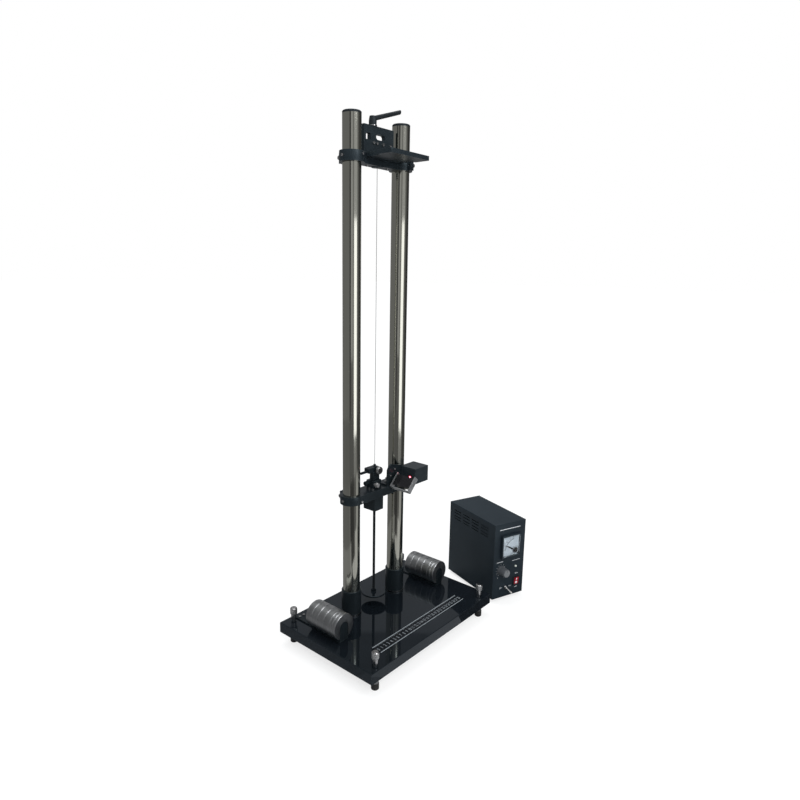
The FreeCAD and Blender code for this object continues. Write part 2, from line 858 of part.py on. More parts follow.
def load_train():
    top = "base_thick + clamp_top"
    cap_low = f"{top} - clamp_cap_height"
    body_low = f"{cap_low} - clamp_body_height"
    cap = block(
        ("clamp_cap_left + clamp_cap_right", "clamp_cap_depth", "clamp_cap_height"),
        ("-clamp_cap_left", "post_back - clamp_cap_depth / 2", cap_low),
    )
    body = block(
        ("clamp_body_left + clamp_body_right", "clamp_body_depth", "clamp_body_height"),
        ("-clamp_body_left", "post_back - clamp_body_depth / 2", body_low),
    )
    collet = rod("collet_radius", "collet_height", ("0", "post_back", top))
    thumb_spot = ("thumb_offset", "post_back - clamp_cap_depth / 2", f"{cap_low} + thumb_lift")
    side_spot = ("-clamp_cap_left", "post_back", f"{cap_low} + side_lift")
    cuts = [
        rod("rod_radius + shaft_gap", "rod_entry + shaft_gap", ("0", "post_back", body_low)),
        rod("thumb_stem_radius + shaft_gap", "clamp_cap_depth / 2 - 1", thumb_spot, TO_BACK),
        rod("side_stem_radius + shaft_gap", "knob_stem_depth + 1", side_spot, TO_RIGHT),
    ]
    node("wire_clamp", without(joined(cap, body, collet), *cuts))
    size = ("thumb_radius", "thumb_length", "thumb_lead", "thumb_stem_radius", "clamp_cap_depth / 2 - 2")
    node("clamp_thumbscrew", knob(*size, thumb_spot, TO_FRONT))
    size = ("side_grip_radius", "side_grip_length", "side_lead", "side_stem_radius", "knob_stem_depth")
    node("clamp_side_screw", knob(*size, side_spot, TO_LEFT))
    pan_low = "base_thick + pan_height"
    pan = [
        ("rod_radius + shaft_gap", "0"),
        ("pan_radius - 0.8", "0"),
        ("pan_radius", "0.8"),
        ("pan_radius", "pan_thick - 0.8"),
        ("pan_radius - 0.8", "pan_thick"),
        ("pan_boss_radius", "pan_thick"),
        ("pan_boss_radius", "pan_thick + pan_boss_height"),
        ("rod_radius + shaft_gap", "pan_thick + pan_boss_height"),
    ]
    node("hanger_pan", turned(pan, ("0", "post_back", pan_low)))
    length = f"({body_low} + rod_entry) - ({pan_low})"
    node("hanger_rod", rod("rod_radius", length, ("0", "post_back", pan_low)))


def lower_bracket():
    low = "base_thick + lower_height"
    bush_hole = rod("bush_radius + shaft_gap", "lower_thick", ("0", "post_back", low))
    beam_holes = [bush_hole]
    for y in BRACKET_SCREW_Y:
        beam_holes.append(screwed("bracket_screw", y, f"{LOWER_TOP} + bracket_thick"))
    for y in ("post_back - beam_screw_far", "post_back - beam_screw_near"):
        beam_holes.append(screwed("-beam_screw_left", y, LOWER_TOP))
    beam_holes += wall_screwed("-wall_screw_x", LOWER_FRONT, f"{low} + lower_thick * 0.3", TO_FRONT)
    beam_holes.append(screwed(*ARM_SCREW))
    node("lower_beam", beam(low, "lower_thick", "lower_front", "lower_back", *beam_holes))
    guide = block(
        ("guide_left + guide_right", "guide_front + guide_back", "guide_drop"),
        ("-guide_left", "post_back - guide_front", f"{low} - guide_drop"),
    )
    hole_low = ("0", "post_back", f"{low} - guide_drop")
    node("guide_box", without(guide, rod("bush_radius + shaft_gap", "guide_drop", hole_low)))
    bush = [
        ("rod_radius + shaft_gap", "-bush_lip"),
        ("bush_radius + 2", "-bush_lip"),
        ("bush_radius + 2", "0"),
        ("bush_radius", "0"),
        ("bush_radius", "guide_drop + lower_thick"),
        ("rod_radius + shaft_gap", "guide_drop + lower_thick"),
    ]
    node("guide_bush", turned(bush, hole_low))
    block_low = LOWER_TOP
    solid = joined(
        block(
            ("block_left + block_right", "block_front + block_back", "block_height"),
            ("-block_left", "post_back - block_front", block_low),
        ),
        block(
            ("block_neck_width", "block_neck_depth", "block_neck_height"),
            ("-block_neck_width / 2", "post_back - block_neck_depth / 2", block_low),
        ),
    )
    lock_spot = ("-block_left", "post_back + lock_offset", f"{block_low} + lock_height")
    fine_spot = ("fine_offset", "post_back - block_front", f"{block_low} + fine_height")
    cuts = [
        rod("rod_radius + seat_gap", "block_neck_height", ("0", "post_back", block_low)),
        rod("knob_stem_radius + shaft_gap", "knob_stem_depth + 1", lock_spot, TO_RIGHT),
        rod("knob_stem_radius + shaft_gap", "knob_stem_depth + 1", fine_spot, TO_BACK),
    ]
    node("guide_block", without(solid, *cuts))
    stem = ("knob_lead", "knob_stem_radius", "knob_stem_depth")
    node("lock_knob", knob("lock_grip_radius", "lock_grip_length", *stem, lock_spot, TO_LEFT))
    node("fine_knob", knob("fine_grip_radius", "fine_grip_length", *stem, fine_spot, TO_FRONT))


def mirror_unit():
    right = "laser_left - seat_gap"
    arm_outline = [
        ("arm_left", "0"),
        (f"{right} - arm_height * 0.11", "0"),
        (right, "arm_height * 0.16"),
        (right, "arm_shoulder"),
        ("arm_left + arm_height * 0.5", "arm_height * 0.94"),
        ("arm_left + arm_height * 0.28", "arm_height"),
        ("arm_left + arm_height * 0.12", "arm_height * 0.92"),
        ("arm_left + arm_height * 0.02", "arm_height * 0.76"),
    ]
    arm_back = f"{LOWER_FRONT} + arm_thick"
    arm = extruded("XZ_Plane", arm_outline, "arm_thick", ("0", arm_back, LOWER_TOP))
    foot = block(
        ("arm_foot_width", "arm_foot_depth", "arm_foot_thick"), ("arm_foot_left", arm_back, LOWER_TOP)
    )
    pivot_x = "stirrup_x + pivot_reach * cos(stirrup_tilt) + stirrup_width / 2 * sin(stirrup_tilt)"
    rise = "pivot_reach * sin(stirrup_tilt) - stirrup_width / 2 * cos(stirrup_tilt)"
    far_face = "stirrup_front + stirrup_span"
    boss_length = f"{LOWER_FRONT} - ({far_face})"
    boss_at = (pivot_x, far_face, f"{LOWER_TOP} + stirrup_drop + {rise}")
    boss = rod("arm_boss_radius", boss_length, boss_at, TO_BACK)
    head_well = rod("screw_head_radius + shaft_gap", "screw_head_height + seat_gap", boss_at, TO_BACK)
    screw_hole = hole("screw_radius", "screw_depth", ARM_SCREW)
    holes = []
    for x, z in (("0.464", "0.748"), ("0.18", "0.494")):
        spot = (f"arm_left + arm_height * {x}", LOWER_FRONT, f"{LOWER_TOP} + arm_height * {z}")
        holes.append(screwed(*spot, TO_FRONT, "arm_thick - shaft_gap"))
    node("mirror_arm", without(joined(arm, foot, boss), screw_hole, head_well, *holes))
    tilt = Rotation(Vector(0, 1, 0), -SIZES["stirrup_tilt"])
    origin = ("stirrup_x", "stirrup_front", f"{LOWER_TOP} + stirrup_drop")

    outer = block(("stirrup_reach", "stirrup_span", "stirrup_width"), ("0", "0", "-stirrup_width"))
    inner = block(
        ("stirrup_reach", "stirrup_span - 2 * sheet_thick", "stirrup_width"),
        ("sheet_thick", "sheet_thick", "-stirrup_width"),
    )
    pivot_z = "-stirrup_width / 2"
    near = rod("pivot_radius + shaft_gap", "sheet_thick", ("pivot_reach", "0", pivot_z), TO_BACK)
    far = rod(
        "pivot_radius + shaft_gap",
        "sheet_thick",
        ("pivot_reach", "stirrup_span - sheet_thick", pivot_z),
        TO_BACK,
    )
    stirrup = without(outer, inner, near, far)
    node("stirrup", put(stirrup, origin, tilt))
    wide = "stirrup_span - 2 * sheet_thick - 2 * mirror_side_gap"
    side = "sheet_thick + mirror_side_gap"
    thick_low = f"{pivot_z} - mirror_thick / 2"
    core = block(("mirror_height", wide, "mirror_thick"), ("mirror_start", side, thick_low))
    near = rod("pivot_radius + shaft_gap", "6", ("pivot_reach", side, pivot_z), TO_BACK)
    far = rod("pivot_radius + shaft_gap", "6", ("pivot_reach", f"{side} + {wide} - 6", pivot_z), TO_BACK)
    node("mirror_block", put(without(core, near, far), origin, tilt))
    glass = block(
        ("mirror_height", wide, "mirror_glass_thick"),
        ("mirror_start", side, f"{thick_low} - mirror_glass_thick"),
    )
    node("mirror_glass", put(group(glass), origin, tilt))
    size = ("pivot_radius", "screw_head_radius", "screw_head_height", "7")
    near = cap_screw(*size, ("pivot_reach", "0", pivot_z), TO_FRONT)
    far = cap_screw(*size, ("pivot_reach", "stirrup_span", pivot_z), TO_BACK)
    return put(group(near, far), origin, tilt)


def laser_head():
    low = f"{LOWER_TOP} + bracket_thick"
    case = block(("laser_length", "laser_width", "laser_height"), ("laser_left", "laser_front", low))
    spot = ("laser_left", "nozzle_y", f"{low} + nozzle_lift")
    seat = rod("nozzle_radius + shaft_gap", "8", spot, TO_RIGHT)
    node("laser_case", without(case, seat))
    nozzle = [
        ("nozzle_bore", "-7"),
        ("nozzle_radius", "-7"),
        ("nozzle_radius", "nozzle_length"),
        ("nozzle_bore", "nozzle_length"),
    ]
    node("laser_nozzle", turned(nozzle, spot, TO_LEFT))
    plate = block(
        ("bracket_length", "bracket_back - bracket_front", "bracket_thick"),
        ("bracket_left", "bracket_front", LOWER_TOP),
    )
    tail = block(
        ("bracket_left + seat_gap - bracket_tail_left", "bracket_tail_length - arm_thick", "bracket_thick"),
        ("bracket_tail_left", f"{LOWER_FRONT} + arm_thick + seat_gap", LOWER_TOP),
    )
    holes = [hole("screw_radius", "screw_depth", ("bracket_screw", y, low)) for y in BRACKET_SCREW_Y]
    clear = rod("post_radius + seat_gap", "bracket_thick", (POST_X["right"], "post_back", LOWER_TOP))
    node("laser_bracket", without(joined(plate, tail), clear, *holes))


def weights():
    rails = []
    for side, x in RAIL_X.items():
        arch = "weight_slot_top - weight_slot / 2"
        rail_arch = "weight_slot_top - seat_gap - rail_width / 2"
        length = f"{WEIGHT_BACK} - weight_front"
        rail = joined(
            block(("rail_width", length, rail_arch), (f"{x} - rail_width / 2", "weight_front", "base_thick")),
            rod("rail_width / 2", length, (x, "weight_front", f"base_thick + {rail_arch}"), TO_BACK),
            block(
                ("rail_width", f"{length} + rail_tab_length", "rail_tab_thick"),
                (f"{x} - rail_width / 2", "weight_front", "base_thick"),
            ),
        )
        holes = []
        for shift in ("-rail_width / 4", "rail_width / 4"):
            spot = (f"{x} + ({shift})", f"{WEIGHT_BACK} + rail_tab_screw", "base_thick + rail_tab_thick")
            holes.append(screwed(*spot))
        rails.append(without(rail, *holes))
        stacks = {
            "small": ("small_weight_thick", SMALL_COUNT, "weight_front"),
            "large": ("large_weight_thick", LARGE_COUNT, LARGE_START),
        }
        for kind, (thick, count, front) in stacks.items():
            discs = []
            for i in range(count):
                profile = [
                    ("0", "0"),
                    ("weight_radius - weight_bevel", "0"),
                    ("weight_radius", "weight_bevel"),
                    ("weight_radius", f"{thick} - weight_bevel"),
                    ("weight_radius - weight_bevel", thick),
                    ("0", thick),
                ]
                y = f"{front} + {i} * ({thick} + weight_gap)"
                disc = turned(profile, (x, y, "base_thick + weight_axis"), TO_BACK)
                straight = block(
                    ("weight_slot", thick, arch), (f"{x} - weight_slot / 2", y, "base_thick")
                )
                crown = rod("weight_slot / 2", thick, (x, y, f"base_thick + {arch}"), TO_BACK)
                discs.append(without(disc, straight, crown))
            node(f"{kind}_weights_{side}", group(*discs))
    node("weight_rails", group(*rails))


def in_box(item):
    """Stands a piece, modelled in the box's own frame, where the box stands."""
    item.Placement = Placement(Vector(), Rotation(Vector(0, 0, 1), SIZES["box_turn"]))
    bind(item, "Placement.Base.x", "box_x")
    bind(item, "Placement.Base.y", "box_y")
    bind(item, "Placement.Base.z", "box_foot - foot_height")
    return item


def is_upper_fold(edge):
    """One of the two long edges along which the cover's sheet is folded."""
    low, high = sorted((edge.BoundBox.ZMin, edge.BoundBox.ZMax))
    return high - low < 0.01 and low > 1 and edge.BoundBox.YLength > 10


def supply_box():
    # In this frame X runs across the front from its left edge, Y from the front to the back.
    half = "box_width / 2"
    cover_height = "box_height - box_sheet"
    folded = [("0", "0"), ("box_width", "0"), ("box_width", cover_height), ("0", cover_height)]
    outer = extruded(
        "XZ_Plane", folded, "box_depth - 2 * panel_thick", ("0", "box_depth - panel_thick", "box_sheet")
    )
    eased(outer, "Fillet", "Radius", "fold_radius", is_upper_fold)
    inner = block(
        ("box_width - 2 * box_sheet", "box_depth", "box_height - 2 * box_sheet"),
        ("box_sheet", "0", "box_sheet"),
    )
    slots = []
    for row in ("slot_upper", "slot_lower"):
        for column in range(4):
            for step in range(2):
                at = ("0", f"slot_first + {column} * slot_pitch", f"{row} + {step} * slot_step")
                slots.append(block(("box_width", "slot_length", "slot_width"), at))
    node("box_cover", in_box(without(outer, inner, *slots)))
    bottom = block(("box_width", "box_depth - panel_thick", "box_sheet"), ("0", "panel_thick", "0"))
    back = block(
        ("box_width", "panel_thick", "box_height"), ("0", "box_depth - panel_thick", "0")
    )
    inlet_left = f"{half} - inlet_width / 2"
    inlet_hole = block(
        ("inlet_width", "panel_thick", "inlet_height"), (inlet_left, "box_depth - panel_thick", "inlet_lift")
    )
    node("box_chassis", in_box(without(joined(bottom, back), inlet_hole)))
    shell = block(
        ("inlet_width - 2 * shaft_gap", "inlet_depth + inlet_flange", "inlet_height - 2 * shaft_gap"),
        (f"{inlet_left} + shaft_gap", "box_depth - inlet_depth", "inlet_lift + shaft_gap"),
    )
    cavity = block(
        ("inlet_width - 2 * inlet_wall", "inlet_well + inlet_flange", "inlet_height - 2 * inlet_wall"),
        (f"{inlet_left} + inlet_wall", "box_depth - inlet_well", "inlet_lift + inlet_wall"),
    )
    blades = []
    for shift_x, shift_z in (("-inlet_width / 4", "-2"), ("inlet_width / 4", "-2"), ("0", "3")):
        corner = (
            f"{half} + ({shift_x}) - blade_thick / 2",
            "box_depth - inlet_well",
            f"inlet_lift + inlet_height / 2 + ({shift_z}) - blade_height / 2",
        )
        blades.append(block(("blade_thick", "blade_length", "blade_height"), corner))
    node("mains_inlet", in_box(joined(without(shell, cavity), *blades)))
    feet = []
    for x in ("box_foot_inset", "box_width - box_foot_inset"):
        for y in ("box_foot_inset", "box_depth - box_foot_inset"):
            profile = [
                ("0", "-box_foot"),
                ("box_foot_radius - 1", "-box_foot"),
                ("box_foot_radius", "0"),
                ("0", "0"),
            ]
            feet.append(turned(profile, (x, y, "0")))
    node("box_feet", in_box(group(*feet)))
    core_front = "box_depth - inlet_depth - core_clear - core_depth"
    core = block(
        ("core_width", "core_depth", "core_height"), (f"{half} - core_width / 2", core_front, "box_sheet")
    )
    coil = block(
        ("coil_width", "coil_depth", "coil_height"),
        (
            f"{half} - coil_width / 2",
            f"{core_front} + (core_depth - coil_depth) / 2",
            "box_sheet + (core_height - coil_height) / 2",
        ),
    )
    node("transformer", in_box(joined(core, coil)))
    front_panel()


def front_panel():
    plate = block(("box_width", "panel_thick", "box_height"), ("0", "0", "0"))
    meter = ("meter_x", "0", "meter_z")
    cuts = [
        rod("meter_can_radius + seat_gap", "panel_thick", meter, TO_BACK),
        rod("knob_shaft_radius + shaft_gap", "panel_thick", ("knob_x", "0", "knob_z"), TO_BACK),
        rod("lamp_radius + shaft_gap", "panel_thick", ("lamp_x", "0", "lamp_z"), TO_BACK),
        rod("toggle_radius + shaft_gap", "panel_thick", ("toggle_x", "0", "toggle_z"), TO_BACK),
        block(
            ("rocker_width + 2", "panel_thick", "rocker_height + 2"),
            ("rocker_x - rocker_width / 2 - 1", "0", "rocker_z - rocker_height / 2 - 1"),
        ),
    ]
    node("front_panel", in_box(without(plate, *cuts)))
    half = "meter_side / 2"
    bezel = block(
        ("meter_side", "meter_proud", "meter_side"),
        (f"meter_x - {half}", "-meter_proud", f"meter_z - {half}"),
    )
    can = rod("meter_can_radius", "meter_can_depth", meter, TO_BACK)
    face_half = "meter_face_side / 2"
    recess = block(
        ("meter_face_side", "meter_recess", "meter_face_side"),
        (f"meter_x - {face_half}", "-meter_proud", f"meter_z - {face_half}"),
    )
    needle_x, needle_z = "meter_x + needle_x", "meter_z + needle_z"
    face_y = "-meter_proud + meter_recess"
    staff_hole = rod("needle_hub_radius / 2 + shaft_gap", "5", (needle_x, face_y, needle_z), TO_BACK)
    node("meter_case", in_box(without(joined(bezel, can), recess, staff_hole)))
    glass = block(
        ("meter_face_side - 0.2", "window_thick", "meter_face_side - 0.2"),
        (f"meter_x - {face_half} + 0.1", "-meter_proud", f"meter_z - {face_half} + 0.1"),
    )
    node("meter_window", in_box(group(glass)))
    hub = turned(
        [
            ("0", "-4"),
            ("needle_hub_radius / 2", "-4"),
            ("needle_hub_radius / 2", "seat_gap"),
            ("needle_hub_radius", "seat_gap"),
            ("needle_hub_radius", "2"),
            ("0", "2"),
        ],
        (needle_x, face_y, needle_z),
        TO_FRONT,
    )
    along, across = "cos(needle_angle)", "sin(needle_angle)"
    outline = [
        (f"needle_root * {across}", f"-needle_root * {along}"),
        (
            f"needle_length * {along} + needle_tip * {across}",
            f"needle_length * {across} - needle_tip * {along}",
        ),
        (
            f"needle_length * {along} - needle_tip * {across}",
            f"needle_length * {across} + needle_tip * {along}",
        ),
        (f"-needle_root * {across}", f"needle_root * {along}"),
    ]
    pointer = extruded(
        "XZ_Plane",
        outline,
        "needle_thick",
        (needle_x, f"{face_y} - 0.8", needle_z),
    )
    node("meter_needle", in_box(joined(hub, pointer)))
    knob_profile = [
        ("0", "-8"),
        ("knob_shaft_radius", "-8"),
        ("knob_shaft_radius", "seat_gap"),
        ("knob_skirt_radius", "seat_gap"),
        ("knob_skirt_radius", "2.5"),
        ("knob_face_radius + 1", "5"),
        ("knob_face_radius", "knob_length - 1"),
        ("knob_face_radius - 1", "knob_length"),
        ("0", "knob_length"),
    ]
    knob_at = ("knob_x", "0", "knob_z")
    node("control_knob", in_box(group(turned(knob_profile, knob_at, TO_FRONT))))
    lamp = [
        ("0", "-5"),
        ("lamp_radius", "-5"),
        ("lamp_radius", "lamp_proud - 1.5"),
        ("lamp_radius * 0.6", "lamp_proud"),
        ("0", "lamp_proud"),
    ]
    node("indicator_lamp", in_box(group(turned(lamp, ("lamp_x", "0", "lamp_z"), TO_FRONT))))
    rim_x = "rocker_x - rocker_width / 2"
    rim_z = "rocker_z - rocker_height / 2"
    flange = block(
        ("rocker_width + 2 * bezel_rim", "bezel_proud", "rocker_height + 2 * bezel_rim"),
        (f"{rim_x} - bezel_rim", "-bezel_proud", f"{rim_z} - bezel_rim"),
    )
    sleeve = block(
        ("rocker_width + 2 * sleeve_wall", "sleeve_depth", "rocker_height + 2 * sleeve_wall"),
        (f"{rim_x} - sleeve_wall", "0", f"{rim_z} - sleeve_wall"),
    )
    well = block(
        ("rocker_width", "sleeve_depth - 4 + bezel_proud", "rocker_height"),
        (rim_x, "-bezel_proud", rim_z),
    )
    node("rocker_bezel", in_box(without(joined(flange, sleeve), well)))
    reach = "rocker_height / 2 - rocker_gap"
    rocker_outline = [
        (f"-({reach})", "0"),
        ("0", "-rocker_heel"),
        (reach, "0"),
        (reach, "rocker_lift"),
        ("0", "rocker_pivot"),
        (f"-({reach})", "rocker_pivot"),
    ]
    pivot_y = "-bezel_proud + rocker_pivot"
    rocker = extruded(
        "YZ_Plane",
        rocker_outline,
        "rocker_width - 2 * rocker_side_gap",
        (f"{rim_x} + rocker_side_gap", pivot_y, "rocker_z"),
        TO_FRONT,
    )
    pin = rod(
        "rocker_pin_radius",
        "rocker_width - 4 * shaft_gap",
        (f"{rim_x} + 2 * shaft_gap", pivot_y, "rocker_z"),
        TO_RIGHT,
    )
    node("rocker", in_box(joined(rocker, pin)))
    nut = [
        ("toggle_bore", "-toggle_body"),
        ("toggle_radius", "-toggle_body"),
        ("toggle_radius", "0"),
        ("toggle_nut_radius", "0"),
        ("toggle_nut_radius", "toggle_nut_proud / 3"),
        ("toggle_radius", "toggle_nut_proud / 3"),
        ("toggle_radius", "toggle_nut_proud"),
        ("toggle_bore", "toggle_nut_proud"),
    ]
    toggle_at = ("toggle_x", "0", "toggle_z")
    node("toggle_bushing", in_box(group(turned(nut, toggle_at, TO_FRONT))))
    neck, tip = "toggle_bore * 0.45", "toggle_bore * 0.85"
    lever_profile = [
        ("0", "0"),
        (neck, "0"),
        (neck, "toggle_pivot"),
        (tip, "toggle_pivot + toggle_length - tip_round"),
        (f"{tip} - tip_round", "toggle_pivot + toggle_length"),
        ("0", "toggle_pivot + toggle_length"),
    ]
    lean = Rotation(Vector(1, 0, 0), 90 + SIZES["toggle_lean"])
    pivot = ("toggle_x", "toggle_pivot - toggle_nut_proud", "toggle_z")
    ball = put(doc.addObject("Part::Sphere", "Ball"), pivot, lean)
    bind(ball, "Radius", "toggle_bore - shaft_gap")
    node("toggle_lever", in_box(joined(ball, turned(lever_profile, pivot, lean))))


base_plate()
scale_strip()
feet()
columns()
upper_head()
clamp_lever()
wire()
load_train()
lower_bracket()
pivot_screws = mirror_unit()
laser_head()
weights()
supply_box()
node("small_screws", group(pivot_screws, *[small_screw(*spot) for spot in screw_spots]))
doc.recompute()

faulty = [item.Label for item in doc.Objects if {"Invalid", "Error"} & set(item.State)]
for item in nodes:
    if item.Shape.isNull() or not item.Shape.isValid() or not item.Shape.Solids:
        faulty.append(item.Label)
if faulty:
    raise RuntimeError("faulty pieces: " + ", ".join(faulty))

os.makedirs("parts", exist_ok=True)
for item in nodes:
    item.Shape.exportStep(f"parts/{item.Label}.step")
print(len(nodes), "nodes written")
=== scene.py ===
import math

import bmesh
import bpy
from mathutils import Matrix, Vector


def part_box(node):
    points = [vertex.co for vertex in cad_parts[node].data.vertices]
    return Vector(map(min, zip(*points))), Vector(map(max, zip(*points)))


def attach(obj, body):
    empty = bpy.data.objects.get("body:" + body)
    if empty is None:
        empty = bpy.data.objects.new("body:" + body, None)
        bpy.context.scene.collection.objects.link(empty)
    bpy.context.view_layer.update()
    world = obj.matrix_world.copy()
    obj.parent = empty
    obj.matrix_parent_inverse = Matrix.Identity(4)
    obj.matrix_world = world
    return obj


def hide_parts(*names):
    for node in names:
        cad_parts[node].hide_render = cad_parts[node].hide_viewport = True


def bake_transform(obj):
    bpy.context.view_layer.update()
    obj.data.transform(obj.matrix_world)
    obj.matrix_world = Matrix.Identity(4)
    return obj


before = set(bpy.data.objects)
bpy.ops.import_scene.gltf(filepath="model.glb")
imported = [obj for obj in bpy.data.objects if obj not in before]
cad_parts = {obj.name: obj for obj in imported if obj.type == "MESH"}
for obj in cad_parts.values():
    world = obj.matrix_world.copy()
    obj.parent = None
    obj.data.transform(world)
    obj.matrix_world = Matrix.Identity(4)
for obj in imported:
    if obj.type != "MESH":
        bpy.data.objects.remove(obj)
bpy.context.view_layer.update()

MM = 0.001
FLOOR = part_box("foot_pads")[0].z
scene = bpy.context.scene
scene.view_settings.view_transform = "Standard"


# Camera: angles in degrees, its place in metres, its lens in millimetres

CAMERA_AZIMUTH = -49.60
CAMERA_ELEVATION = 11.49
CAMERA_ROLL = 0.95
CAMERA_PLACE = (-0.9960, -0.8674, 0.7797)
CAMERA_LENS = 28.21


def add_camera():
    """The camera at the photographed view: turned about Z, raised, and rolled about its own axis."""
    a, e, r = map(math.radians, (CAMERA_AZIMUTH, CAMERA_ELEVATION, CAMERA_ROLL))
    back = Vector((math.sin(a) * math.cos(e), -math.cos(a) * math.cos(e), math.sin(e)))
    level = Vector((math.cos(a), math.sin(a), 0))
    upright = back.cross(level)
    right = math.cos(r) * level + math.sin(r) * upright
    up = -math.sin(r) * level + math.cos(r) * upright
    data = bpy.data.cameras.new("camera")
    data.sensor_width = 36
    data.lens = CAMERA_LENS
    data.clip_start = 0.01
    camera = bpy.data.objects.new("camera", data)
    scene.collection.objects.link(camera)
    turn = Matrix((right, up, back)).transposed().to_4x4()
    camera.matrix_world = Matrix.Translation(CAMERA_PLACE) @ turn
    scene.camera = camera


# Stage


def nodes_of(material):
    """The node tree of a material or of the world, emptied."""
    material.use_nodes = True
    tree = material.node_tree
    tree.nodes.clear()
    return tree


def add(tree, kind, **values):
    """A node with its inputs set by name, or linked where the value is a socket."""
    node = tree.nodes.new(kind)
    for key, value in values.items():
        name = key.replace("_", " ")
        if hasattr(node, key) and name not in node.inputs:
            setattr(node, key, value)
            continue
        socket = node.inputs[name] if name in node.inputs else node.inputs[key]
        if isinstance(value, bpy.types.NodeSocket):
            tree.links.new(value, socket)
        else:
            socket.default_value = value
    return node


def math_node(tree, operation, a, b=0.0):
    """The result of an operation on two values, each a number or a socket."""
    node = tree.nodes.new("ShaderNodeMath")
    node.operation = operation
    for socket, value in zip(node.inputs, (a, b)):
        if isinstance(value, bpy.types.NodeSocket):
            tree.links.new(value, socket)
        else:
            socket.default_value = value
    return node.outputs[0]


def seen_directly(tree):
    """1 for what the camera, a reflection or a clear piece shows, 0 for light on the object."""
    path = tree.nodes.new("ShaderNodeLightPath")
    seen = math_node(tree, "MAXIMUM", path.outputs["Is Camera Ray"], path.outputs["Is Glossy Ray"])
    return math_node(tree, "MAXIMUM", seen, path.outputs["Is Transmission Ray"])


def add_world():
    """A cool, even light on the object, and plain white around it for what is seen."""
    world = bpy.data.worlds.new("studio")
    scene.world = world
    tree = nodes_of(world)
    light = add(tree, "ShaderNodeBackground", Color=(0.93, 0.97, 1.0, 1), Strength=0.55)
    white = add(tree, "ShaderNodeBackground", Color=(1, 1, 1, 1), Strength=1.0)
    mix = add(tree, "ShaderNodeMixShader", Fac=seen_directly(tree))
    tree.links.new(light.outputs[0], mix.inputs[1])
    tree.links.new(white.outputs[0], mix.inputs[2])
    output = tree.nodes.new("ShaderNodeOutputWorld")
    tree.links.new(mix.outputs[0], output.inputs["Surface"])


def mesh_object(name, vertices, faces, material, smooth=False):
    mesh = bpy.data.meshes.new(name)
    mesh.from_pydata([tuple(v) for v in vertices], [], faces)
    mesh.materials.append(material)
    mesh.polygons.foreach_set("use_smooth", [smooth] * len(mesh.polygons))
    obj = bpy.data.objects.new(name, mesh)
    scene.collection.objects.link(obj)
    return obj


def add_floor():
    """White paper, which glows by itself where it is seen and turns plain white further away."""
    material = bpy.data.materials.new("floor")
    tree = nodes_of(material)
    seen = seen_directly(tree)
    tone = mixed(tree, seen, (0.80, 0.80, 0.80), (0.30, 0.30, 0.30))
    paper = add(tree, "ShaderNodeBsdfDiffuse", Color=tone)
    place = tree.nodes.new("ShaderNodeNewGeometry").outputs["Position"]
    away = add(tree, "ShaderNodeVectorMath", operation="LENGTH")
    tree.links.new(place, away.inputs[0])
    brighter = ranged(tree, away.outputs["Value"], 0.73, 0.88, 1.5, 5.5)
    strength = math_node(tree, "MULTIPLY", brighter, seen)
    glow = add(tree, "ShaderNodeEmission", Color=(1, 1, 1, 1), Strength=strength)
    both = tree.nodes.new("ShaderNodeAddShader")
    tree.links.new(paper.outputs[0], both.inputs[0])
    tree.links.new(glow.outputs[0], both.inputs[1])
    output = tree.nodes.new("ShaderNodeOutputMaterial")
    tree.links.new(both.outputs[0], output.inputs["Surface"])
    reach, gap = 40.0, 0.0002
    corners = [(x * reach, y * reach, FLOOR - gap) for x, y in ((-1, -1), (1, -1), (1, 1), (-1, 1))]
    mesh_object("floor", corners, [(0, 1, 2, 3)], material)


def add_card(name, first, last, inner, outer, grey):
    """A grey studio card that only reflections see: a curved sheet between two arcs about the object.
    `first` and `last` are degrees to the right of the camera, `inner` and `outer` are (radius, height)."""
    material = bpy.data.materials.new(name)
    tree = nodes_of(material)
    coolness = 1.03
    glow = add(tree, "ShaderNodeEmission", Color=(grey, grey, grey * coolness, 1), Strength=1.0)
    output = tree.nodes.new("ShaderNodeOutputMaterial")
    tree.links.new(glow.outputs[0], output.inputs["Surface"])
    degrees_each = 6
    steps = max(2, round((last - first) / degrees_each))
    vertices = []
    for i in range(steps + 1):
        a = math.radians(CAMERA_AZIMUTH + first + (last - first) * i / steps)
        for radius, height in (inner, outer):
            vertices.append((radius * math.sin(a), -radius * math.cos(a), height))
    faces = [(2 * i, 2 * i + 1, 2 * i + 3, 2 * i + 2) for i in range(steps)]
    card = mesh_object(name, vertices, faces, material)
    card.visible_camera = False
    card.visible_diffuse = False
    card.visible_transmission = False
    card.visible_shadow = False


def add_lamp(name, at, aim, size, power):
    """A square or oblong lamp that lights the object and isn't seen in reflections."""
    data = bpy.data.lights.new(name, "AREA")
    data.shape = "RECTANGLE"
    data.size, data.size_y = size
    data.energy = power
    lamp = bpy.data.objects.new(name, data)
    scene.collection.objects.link(lamp)
    lamp.location = at
    lamp.rotation_euler = (Vector(aim) - Vector(at)).to_track_quat("-Z", "Y").to_euler()
    lamp.visible_glossy = False


